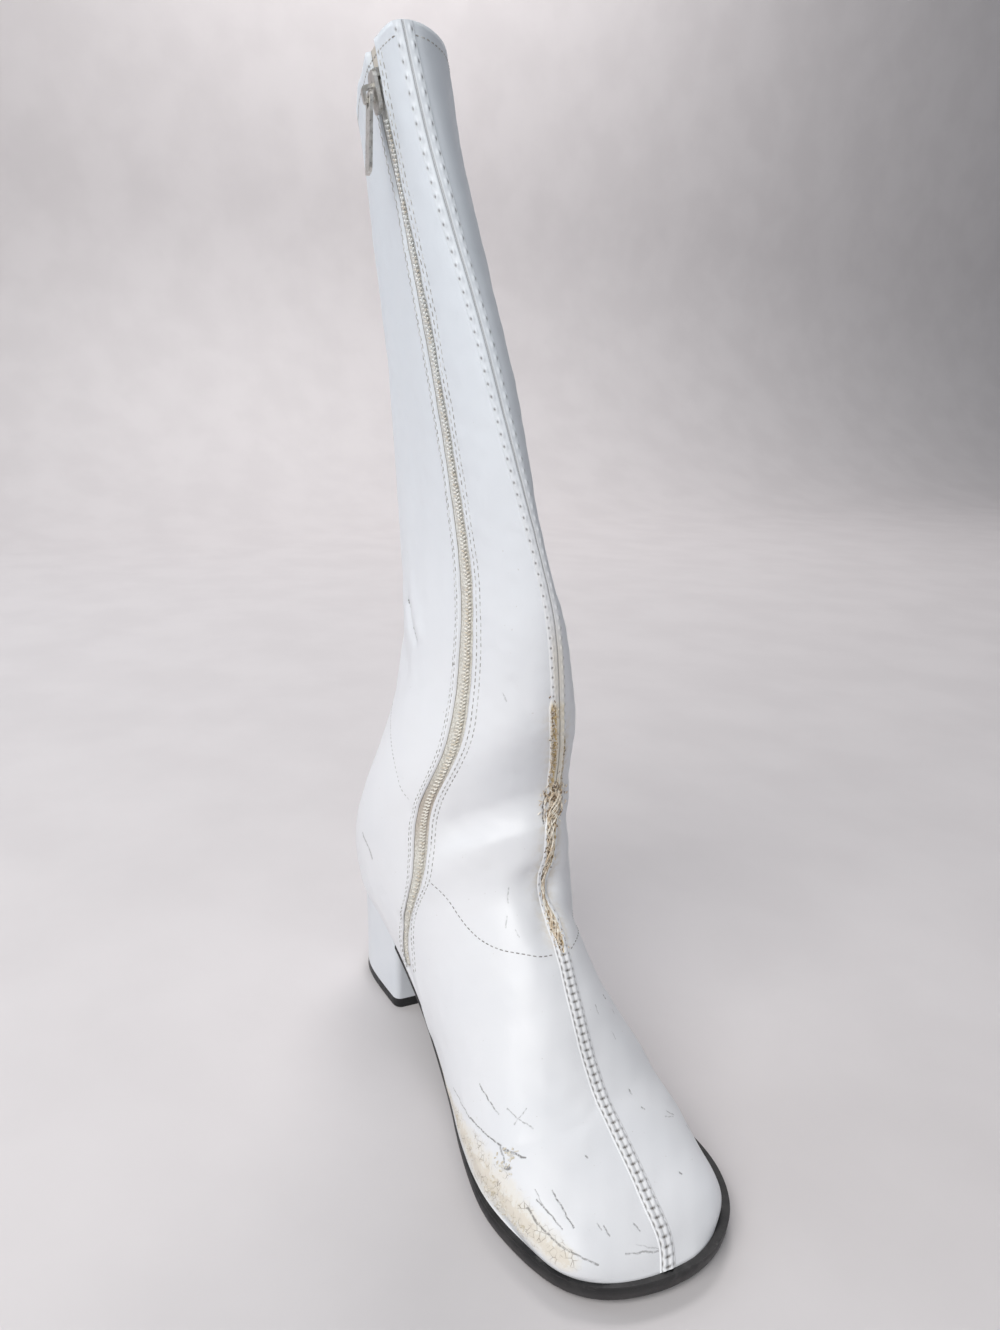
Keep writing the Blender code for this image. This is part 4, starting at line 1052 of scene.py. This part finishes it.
def build_upper(skin, material):
    """The visible outer skin with its rims."""
    forward = np.repeat(skin.forward[:, None], skin.round.shape[1], axis=1) / MM
    round_ = skin.round / MM
    slot = np.zeros((skin.round.shape[0] - 1, skin.round.shape[1] - 1), bool)
    slot[skin.forward[:-1] >= skin.zip_from, BACK_CELLS:BACK_CELLS + SLOT_CELLS] = True
    mesh = grid_mesh("upper_skin", skin.points, slot, np.stack((forward, round_), axis=-1))
    add_measure(mesh, "wear", wear_amount(forward, round_))
    beside = np.exp(-(np.abs(round_) / 5.5) ** 2)
    add_measure(mesh, "torn", 0.9 * beside * torn_share(forward))
    add_rim(mesh, WALL)
    made = new_object("upper_skin", mesh, material)
    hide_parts("upper")


def build_lining(skin, material):
    """The upper's inside, seen through the collar."""
    rows = list(range(0, len(skin.runs) - 1, LINING_SKIP)) + [len(skin.runs) - 1]
    columns = list(range(0, skin.round.shape[1] - 1, LINING_SKIP)) + [skin.round.shape[1] - 1]
    inner = skin.points - skin.normals * WALL
    mesh = grid_mesh("upper_lining", inner[np.ix_(rows, columns)], flip=True)
    made = new_object("upper_lining", mesh, material)


LADDER_END = 0.134
LADDER_PITCH = 0.0034
LADDER_HALF = 0.0027
BUTT_HALF = 0.0027
HOLE_PITCH = 0.0044
OCHRE_FROM = 206.0


def near(values, centre, width):
    """Bell from 1 at the centre down to nothing a few widths away."""
    return np.exp(-((values - centre) / width) ** 2)


def within(values, low, high, soft):
    """1 between low and high with soft ends."""
    return smooth_step(low - soft, low + soft, values) * (1.0 - smooth_step(high - soft, high + soft, values))


def ladder_profile(forward, s):
    """Height and dark marks of the toe's laddered seam: two rows of puffs, cross bars and dashes; the dark
    marks are painted shade in its dips and stitch holes, with some grime.
    """
    phase = (forward / LADDER_PITCH) % 1.0
    bar = near(phase, 0.5, 0.13)
    dash = 0.5 + 0.5 * math.cos(2.0 * math.pi * phase)
    height = 0.00045 + 0.0007 * (1.0 - 0.8 * bar) * near(s, 0.0013, 0.0011)
    height = height + 0.0005 * (1.0 - 0.8 * bar) * near(s, -0.0015, 0.0008)
    height = height - 0.0003 * near(s, -LADDER_HALF, 0.0003) - 0.0003 * near(s, LADDER_HALF, 0.0003)
    # Dark marks in the stitch holes, the dips between the puffs and the middle line: painted shade, with some
    # grime.
    dirt_and_hollow_shade = 0.9 * dash ** 0.6 * near(s, -LADDER_HALF, 0.00034)
    dirt_and_hollow_shade = dirt_and_hollow_shade + 0.85 * bar * within(s, -0.0014, 0.0009, 0.0003)
    dirt_and_hollow_shade = dirt_and_hollow_shade + 0.75 * near(phase, 0.5, 0.2) * near(s, LADDER_HALF, 0.00038)
    return height, dirt_and_hollow_shade + 0.4 * near(s, -0.0003, 0.00026)


def butt_profile(forward, s):
    """Height and dark marks of the shaft's plain seam: a thin gap between two rows of stitch holes, with
    painted shade in the gap and holes and some grime.
    """
    phase = (forward / HOLE_PITCH) % 1.0 - 0.5
    hole = near(phase, 0.0, 0.11) * (near(s, -BUTT_HALF, 0.00036) + 0.8 * near(s, BUTT_HALF, 0.00032))
    puff = near(phase, 0.0, 0.26) * (near(s, -0.0020, 0.0005) + near(s, 0.0020, 0.0005))
    line = near(s, 0.0, 0.00026)
    height = 0.00050 - 0.0006 * line - 0.00055 * hole + 0.00042 * puff
    # The gap line and stitch holes are darkened as painted shade, with some grime.
    return height, 0.9 * line + 0.95 * hole


def torn_tan(forward, s):
    """How tan the torn seam is: about 0.3 cream, 0.6 ochre, 1 dark brown."""
    s = s / MM
    torn = within(forward, OCHRE_FROM, TORN_TO, 3.0)
    tan = 0.30 * torn * within(s, -4.6, 2.2, 0.4)
    tan = tan + 0.20 * within(forward, TORN_TO, 285.0, 12.0) * within(s, -2.4, 2.4, 0.6)
    ochre = within(s, -3.8, -1.9, 0.35)
    tan = np.maximum(tan, torn * (0.62 * ochre + 0.36 * (near(s, -3.9, 0.3) + near(s, -1.8, 0.25))))
    tan = np.maximum(tan, 0.85 * within(forward, 202.0, 236.0, 6.0) * near(s, 2.7, 0.45))
    half = np.interp(forward, *zip(*BRAID_HALF_WIDTHS))
    return np.maximum(tan, 0.95 * within(s, -half - 0.5, half, 0.35) * (half > 0.3))


def build_front_seam(skin, material):
    """Raised seam from the toe to the collar: laddered, then torn, then a plain butt seam."""
    rounds = np.linspace(-0.0055, 0.0040, 39)
    forwards = np.arange(0.0006, skin.forward[-1], SEAM_ROW_STEP)
    right_shoulder = 1.0 - smooth_step(0.0031, 0.0039, rounds)
    rows = []
    shade_and_grime_rows = []
    tans = []
    spread = []
    for forward in forwards:
        points, normals = skin.at(forward, rounds)
        toe = 1.0 - smooth_step(LADDER_END - 0.004, LADDER_END + 0.003, forward)
        ladder, ladder_shade_and_grime = ladder_profile(forward, rounds)
        butt, butt_shade_and_grime = butt_profile(forward, rounds)
        tan = torn_tan(forward / MM, rounds)
        left_edge = 0.0031 + 0.0013 * within(forward / MM, OCHRE_FROM - 3.0, TORN_TO, 4.0)
        shoulder = right_shoulder * (1.0 - smooth_step(left_edge, left_edge + 0.0009, -rounds))
        height = toe * ladder + (1.0 - toe) * butt - 0.0006 * smooth_step(0.45, 0.75, tan)
        rows.append(points + normals * (height * shoulder - 0.00015 * (1.0 - shoulder))[:, None])
        # Painted shade in the seam's hollows, with some grime, fainter where the seam is torn.
        shade_and_grime_rows.append((toe * ladder_shade_and_grime + (1.0 - toe) * butt_shade_and_grime) * (1.0 - 0.6 * smooth_step(0.5, 0.7, tan)))
        tans.append(tan)
        spread.append(normals)
    rows = np.array(rows)
    tans = np.array(tans)
    rough = slow_waves(rows, 21, 0.0034, 14) + 0.7 * slow_waves(rows, 22, 0.0016, 14)
    rows += np.array(spread) * (0.0003 * rough * smooth_step(0.3, 0.7, tans))[..., None]
    uv = np.stack(np.meshgrid(forwards, rounds, indexing="ij"), -1)
    mesh = grid_mesh("front_seam", rows, uv=uv / MM)
    add_measure(mesh, "dirt_and_hollow_shade", np.array(shade_and_grime_rows))
    add_measure(mesh, "tan", tans)
    made = new_object("front_seam", mesh, material)


def build_braid(skin, material):
    """Strands of backing that cross each other down the torn seam."""
    parts = Parts()
    rng = np.random.default_rng(51)
    forwards = np.linspace(TORN_FROM, BRAID_TO, 150)
    widths = np.interp(forwards, *zip(*BRAID_HALF_WIDTHS))
    for strand in range(6):
        turn = 2.0 * math.pi * (forwards / rng.uniform(13.0, 21.0) + strand / 6.0)
        swing = rng.uniform(0.65, 1.05)
        wander = 0.25 * np.sin(forwards / rng.uniform(1.4, 2.6) + strand)
        points = []
        normals = []
        for forward, width, angle, aside in zip(forwards, widths, turn, wander):
            place_, normal = skin.at(forward * MM, (width * swing * math.sin(angle) + aside - 0.3) * MM)
            points.append(place_[0] + normal[0] * (0.45 + 0.35 * math.cos(angle)) * MM)
            normals.append(normal[0])
        radii = rng.uniform(0.26, 0.40) * MM * (1.0 + 0.3 * np.sin(forwards * rng.uniform(1.2, 2.2)))
        parts.tube(np.array(points), np.array(normals), radii)
    made = new_object("torn_braid", parts.mesh("torn_braid"), material)


# Torn bits: centre forward and round in mm, spread along and across, how many, and their length
BitPatch = namedtuple("BitPatch", "forward round along across count length")
BIT_PATCHES = [BitPatch(*row) for row in (
    (198, 0.0, 4.5, 3.0, 130, 2.0),
    (204, -2.0, 3.0, 2.0, 50, 1.6),
    (143, -0.5, 5.0, 1.1, 90, 1.3),
    (135, 0.0, 3.0, 1.4, 50, 1.1),
    (172, -0.5, 9.0, 1.4, 60, 1.5),
    (230, -4.0, 13.0, 0.35, 90, 1.2),
    (230, -1.8, 13.0, 0.25, 60, 1.1),
    (218, 2.7, 8.0, 0.4, 40, 1.0),
    (250, -2.2, 4.0, 1.0, 30, 1.0),
)]


def build_fray(skin, light, dark):
    """Torn bits and lumps of backing along the open stretch of the front seam."""
    rng = np.random.default_rng(31)
    kinds = {"seam_fray": (Parts(), light), "seam_fray_dark": (Parts(), dark)}
    for patch in BIT_PATCHES:
        for _ in range(patch.count):
            forward = patch.forward + rng.normal(0.0, patch.along)
            round_ = patch.round + rng.normal(0.0, patch.across)
            points, normals = skin.at(forward * MM, round_ * MM)
            ahead, _ = skin.at((forward + 1.0) * MM, round_ * MM)
            aside, _ = skin.at(forward * MM, (round_ + 1.0) * MM)
            turn = rng.normal(0.0, 0.7)
            way = (ahead[0] - points[0]) * math.cos(turn) + (aside[0] - points[0]) * math.sin(turn)
            way += normals[0] * MM * rng.normal(0.0, 0.15)
            name = "seam_fray" if rng.uniform() < 0.68 else "seam_fray_dark"
            width = rng.uniform(0.35, 0.8) * MM * min(1.0, patch.length / 1.5)
            lift = 0.55 if name == "seam_fray" else 0.4
            parts = kinds[name][0]
            parts.capsule(points[0] + normals[0] * lift * MM, way, normals[0],
                          patch.length * rng.uniform(0.6, 1.4) * MM, width, 0.9 * width, 5)
    for name, (parts, material) in kinds.items():
        made = new_object(name, parts.mesh(name), material)


def build_torn_flaps(skin, material):
    """Lifted flakes of coating round the torn places of the toe."""
    parts = Parts()
    rng = np.random.default_rng(41)
    spots = [((61, -46), 4.0, 16), ((58, -51), 5.0, 16), ((50, -63), 8.0, 30), ((40, -63), 8.0, 26),
             ((28, -58), 6.0, 16), ((90, -76), 3.0, 8), ((72, -68), 5.0, 12)]
    for (forward0, round0), spread, count in spots:
        for _ in range(count):
            forward = forward0 + rng.normal(0.0, 0.5 * spread)
            round_ = round0 + rng.normal(0.0, 0.35 * spread)
            points, normals = skin.at(max(forward, 2.0) * MM, round_ * MM)
            aside, _ = skin.at(max(forward, 2.0) * MM, (round_ + 1.0) * MM)
            way = (aside[0] - points[0]) + np.cross(normals[0], aside[0] - points[0]) * rng.normal(0.0, 1.0)
            tilted = normals[0] + rng.normal(0.0, 0.35, 3)
            tilted /= np.linalg.norm(tilted)
            parts.capsule(points[0] + normals[0] * 0.0001, way, tilted, rng.uniform(0.7, 1.9) * MM,
                          rng.uniform(0.4, 1.0) * MM, rng.uniform(0.2, 0.45) * MM, 6)
    made = new_object("torn_flakes", parts.mesh("torn_flakes"), material)


def sew(skin, parts, line, pitch, length, width):
    """Lays stitches along a line of (forward, round) mm places."""
    points, normals = skin.line_on(line, pitch * MM)
    ways = np.gradient(points, axis=0)
    for point, normal, way in zip(points, normals, ways):
        parts.capsule(point - normal * STITCH_SINK, way, normal, length * MM, width * MM, 0.9 * width * MM)


def beside_zip(skin, offset, start, end):
    """Line of places at a distance from the zip's middle."""
    forwards = np.linspace(start, end, 40)
    return [(forward, skin.zip_at(forward * MM) / MM + offset) for forward in forwards]


def build_stitching(skin, white, grey):
    """Every sewn row that isn't the front seam's ladder."""
    top = skin.forward[-1] / MM
    low = skin.zip_from / MM
    rows = Parts()
    for line in (VAMP_LINE, OUTER_VAMP_LINE):
        sew(skin, rows, line, 2.5, 1.65, 0.55)
    made = new_object("vamp_stitches", rows.mesh("vamp_stitches"), grey)
    rows = Parts()
    for line in (COUNTER_LINE, OUTER_COUNTER_LINE):
        sew(skin, rows, line, 2.6, 1.6, 0.42)
    for offset in ZIP_STITCH_OFFSETS:
        sew(skin, rows, beside_zip(skin, offset, low - 2.0, top - 4.0), 2.9, 1.9, 0.55)
    sew(skin, rows, [(top - 4.0, round_) for round_ in np.linspace(-146.0, 155.0, 40)], 2.8, 1.8, 0.5)
    made = new_object("zip_stitches", rows.mesh("zip_stitches"), white)


def build_zip(skin, cloth, plastic):
    """Zip tape in the slot and its closed coil."""
    start = skin.zip_from + 0.0006
    end = skin.forward[-1] - ZIP_BELOW_COLLAR
    forwards = np.arange(start, end, 0.0016)
    offsets = np.linspace(-0.5, 0.5, 23) * (ZIP_WIDTH + 0.0004)
    rows = []
    uv = []
    for forward in forwards:
        middle = skin.zip_at(forward)
        points, normals = skin.at(forward, middle + offsets)
        ridge = 0.00035 * near(offsets, COIL_MIDDLE, 0.5 * COIL_WIDTH)
        rows.append(points - normals * (ZIP_RECESS + 0.0002 - ridge)[:, None])
        uv.append(np.column_stack((np.full(len(offsets), forward), offsets)) / MM)
    mesh = grid_mesh("zip_tape", np.array(rows), uv=np.array(uv))
    made = new_object("zip_tape", mesh, cloth)
    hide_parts("zip_strip")
    parts = Parts()
    measures = []
    for number, forward in enumerate(np.arange(start + 0.001, end - 0.012, COIL_PITCH)):
        middle = skin.zip_at(forward) + COIL_MIDDLE
        side = 1.0 if number % 2 else -1.0
        points, normals = skin.at(forward, middle + side * np.array([0.0001, 0.0021]))
        centre = 0.5 * (points[0] + points[1]) - normals[0] * (ZIP_RECESS - 0.0008)
        ahead, _ = skin.at(forward + 0.0005, middle)
        here, _ = skin.at(forward, middle)
        way = points[1] - points[0] + (ahead[0] - here[0]) * 0.8
        before = len(parts.points)
        parts.capsule(centre, way, normals[0], 2.4 * MM, 0.85 * MM, 0.8 * MM, 6)
        measures += [(forward / MM, side)] * (len(parts.points) - before)
    mesh = parts.mesh("zip_coil")
    add_shoe_uv(mesh, measures)
    made = new_object("zip_coil", mesh, plastic)


def loft_mesh(name, sections):
    """Closed solid through sections with the same number of points."""
    work = bmesh.new()
    rings = [[work.verts.new(point) for point in section] for section in sections]
    count = len(rings[0])
    for low, high in zip(rings[:-1], rings[1:]):
        for k in range(count):
            after = (k + 1) % count
            work.faces.new((low[k], low[after], high[after], high[k]))
    work.faces.new(rings[0][::-1])
    work.faces.new(rings[-1])
    bmesh.ops.recalc_face_normals(work, faces=work.faces)
    mesh = bpy.data.meshes.new(name)
    work.to_mesh(mesh)
    work.free()
    return mesh


def round_end_places(start, end, count):
    """Places from a round end at start, close together there, to a plain end."""
    return [start + (end - start) * (1.0 - math.cos(0.5 * math.pi * k / count))
            for k in range(1, count + 1)]


# The outsole's side from its top edge down: how far in, and how far down in metres (the groove) or as
# a share of the thickness
SOLE_EDGE = ((0.0, 0.0), (0.00025, 0.0006), (0.00025, 0.0012), (0.0, 0.0017), (0.0, 0.5), (0.00005, 0.64),
             (0.00012, 0.74), (0.0004, 0.88), (0.0011, 0.985), (0.0018, 1.0))
GROOVE_DEPTH = 0.01


def build_outsole(material):
    """Outsole with its rounded shoulder and a groove under its top edge."""
    ball = 0.75 * SOLE_LENGTH
    places = list(np.linspace(BREAST + GAP, ball, 70)[:-1])
    places += round_end_places(SOLE_LENGTH, ball, 60)[::-1]
    sections = []
    for along in places:
        top = seat_height(along)
        thick = sole_thickness(along)
        medial = across_at(OUTLINE[MEDIAL], along)
        lateral = across_at(OUTLINE[LATERAL], along)
        most = 0.3 * (lateral - medial)
        left = []
        right = []
        for inward, down in SOLE_EDGE:
            depth = down if down < GROOVE_DEPTH else down * thick
            left.append(place(medial + min(inward, most), along, top - depth))
            right.append(place(lateral - min(inward, most), along, top - depth))
        sections.append(left + right[::-1])
    made = new_object("outsole_worn", loft_mesh("outsole_worn", sections), material)
    # 1 on the lower part of the sole's side, 0 on its upper band, which the rubber paints as shade.
    below_shade_band = [0.0 if down < GROOVE_DEPTH else float(smooth_step(0.40, 0.64, down)) for _, down in SOLE_EDGE]
    add_measure(made.data, "low", (below_shade_band + below_shade_band[::-1]) * len(sections))
    made.data.set_sharp_from_angle(angle=SHARP_ANGLE)
    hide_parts("outsole")


def corner_inset(along):
    """How far the heel's sides turn in at the rounded corners of its breast."""
    past = max(0.0, along - (BREAST - HEEL_CORNER))
    return HEEL_CORNER - math.sqrt(max(0.0, HEEL_CORNER ** 2 - past ** 2))


def heel_stations():
    """Places along the heel, closer together at its round back and at the breast's corners."""
    back = SOLE_ROWS[0].along * SOLE_LENGTH
    places = round_end_places(back, BREAST - HEEL_CORNER, 48)
    return places + [BREAST - HEEL_CORNER * share for share in (0.85, 0.65, 0.45, 0.25, 0.12, 0.04, 0.0)]


def heel_point(across, along, share):
    """Where a seat point comes at a share of the way down to the tread."""
    low_across = across * TREAD_NARROWING
    low_along = BREAST - (BREAST - along) * TREAD_SHORTENING
    return across + (low_across - across) * share, along + (low_along - along) * share


def build_heel(cover, rubber):
    """Covered heel block and its top piece."""
    bottom = TOP_PIECE_THICKNESS + GAP
    block = []
    piece = []
    shares = np.linspace(0.0, 1.0, 9)
    for along in heel_stations():
        turn = corner_inset(along)
        medial = across_at(FEATHER[MEDIAL], along) + turn
        lateral = across_at(FEATHER[LATERAL], along) - turn
        top = seat_height(along)
        left = []
        right = []
        for share in shares:
            height = top + (bottom - top) * share
            waist = HEEL_WAIST * math.sin(math.pi * share)
            left.append(place(*heel_point(medial + waist, along, share), height))
            right.append(place(*heel_point(lateral - waist, along, share), height))
        block.append(left + right[::-1])
        low_medial = heel_point(medial, along, 1.0)
        low_lateral = heel_point(lateral, along, 1.0)
        profile = [(0.0, TOP_PIECE_THICKNESS), (0.0, 0.0012), (0.0004, 0.0003), (0.0010, 0.0)]
        piece.append([place(low_medial[0] + i, low_medial[1], z) for i, z in profile]
                     + [place(low_lateral[0] - i, low_lateral[1], z) for i, z in profile[::-1]])
    made = new_object("heel_cover", loft_mesh("heel_cover", block), cover)
    made.data.set_sharp_from_angle(angle=SHARP_ANGLE)
    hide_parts("heel_block")
    made = new_object("heel_top_rubber", loft_mesh("heel_top_rubber", piece), rubber)
    made.data.set_sharp_from_angle(angle=SHARP_ANGLE)
    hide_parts("heel_top_piece")


def finish_nodes(metal, lining):
    """Gives the CAD nodes that stay their finish."""
    for name, material in (("zip_slider", metal), ("zip_pull", metal), ("insole", lining)):
        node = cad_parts[name]
        node.data.materials.clear()
        node.data.materials.append(material)


# The floor's reach, where it bends up into the wall, and the lights: name, place, size, power, colour
# and what they are aimed at
FLOOR_HALF = 6.0
FLOOR_BACK = 1.6
FLOOR_BEND = 0.8
WALL_TOP = 5.0
BOOT_MIDDLE = (0.0, -0.06, 0.14)
LIGHTS = (("key", (-1.25, -0.75, 1.35), 1.5, 27.0, (1.0, 0.985, 0.965), BOOT_MIDDLE),
          ("fill", (1.3, -0.9, 0.9), 1.4, 0.9, (0.93, 0.96, 1.0), BOOT_MIDDLE),
          ("back", (-0.9, 1.1, 1.3), 1.3, 6.0, (0.86, 0.93, 1.0), BOOT_MIDDLE),
          ("wall", (1.0, 1.5, 2.6), 1.2, 42.0, (1.0, 0.97, 0.965), (0.9, 2.4, 0.5)))
WORLD_COLOUR = (0.90, 0.94, 1.0, 1.0)
WORLD_STRENGTH = 0.27


def build_stage():
    """Pale floor that curves up behind, soft lights and the world."""
    made = Shader("stage_floor", (0.66, 0.635, 0.64), 0.62)
    patches = made.range(made.noise(9.0, 4.0), 0.3, 0.7)
    made.feed("Base Color", made.mix(patches, (0.645, 0.62, 0.625), (0.68, 0.655, 0.66)))
    profile = [(-FLOOR_HALF, 0.0), (FLOOR_BACK, 0.0)]
    profile += [(FLOOR_BACK + FLOOR_BEND * math.sin(a), FLOOR_BEND - FLOOR_BEND * math.cos(a))
                for a in np.linspace(0.1, math.pi / 2, 16)]
    profile.append((FLOOR_BACK + FLOOR_BEND, WALL_TOP))
    points = np.array([[(x, y, z) for x in (-FLOOR_HALF, FLOOR_HALF)] for y, z in profile])
    smooth_object("stage_floor", grid_mesh("stage_floor", points, flip=True), made.material)
    world = bpy.data.worlds.new("studio")
    world.use_nodes = True
    background = world.node_tree.nodes["Background"]
    background.inputs["Color"].default_value = WORLD_COLOUR
    background.inputs["Strength"].default_value = WORLD_STRENGTH
    bpy.context.scene.world = world
    bpy.context.scene.view_settings.view_transform = "Standard"
    for name, spot, size, power, colour, target in LIGHTS:
        data = bpy.data.lights.new(name, "AREA")
        data.shape = "DISK"
        data.size = size
        data.energy = power
        data.color = colour
        light = in_scene(name, data)
        light.location = spot
        aim = Vector(target) - Vector(spot)
        light.rotation_euler = aim.to_track_quat("-Z", "Y").to_euler()


def build_camera():
    """Camera at the photograph's place and angle."""
    data = bpy.data.cameras.new("photo_camera")
    data.sensor_width = SENSOR
    data.lens = FOCAL / PHOTO_HEIGHT * SENSOR
    data.shift_x, data.shift_y = SHIFT
    data.clip_start = 0.01
    camera = in_scene("photo_camera", data)
    camera.location = CAMERA_PLACE
    turn = Vector(CAMERA_AIM).to_track_quat("-Z", "Y").to_matrix().to_4x4()
    turn = turn @ Matrix.Rotation(CAMERA_ROLL, 4, "Z")
    camera.rotation_euler = turn.to_euler()
    bpy.context.scene.camera = camera


def main():
    """Builds every piece round the frame."""
    skin = Skin()
    white = coated_white()
    build_upper(skin, white)
    build_lining(skin, lining_cloth())
    build_front_seam(skin, seam_white())
    light = plain_thread("torn_strands", (0.90, 0.86, 0.77), (0.62, 0.50, 0.36), 0.9)
    build_braid(skin, light)
    build_fray(skin, light, plain_thread("torn_bits", (0.40, 0.29, 0.18), (0.17, 0.115, 0.07), 0.9))
    build_torn_flaps(skin, plain_thread("coating_flakes", (0.80, 0.78, 0.73), (0.66, 0.60, 0.48), 0.6))
    build_stitching(skin, plain_thread("white_thread", (0.66, 0.67, 0.66), (0.26, 0.25, 0.23)),
                    plain_thread("grey_thread", (0.42, 0.41, 0.41), (0.14, 0.13, 0.12)))
    build_zip(skin, zip_cloth(), zip_coil_plastic())
    rubber = black_rubber()
    build_outsole(rubber)
    build_heel(heel_white(), rubber)
    finish_nodes(dull_metal(), lining_cloth())
    build_stage()
    build_camera()


main()
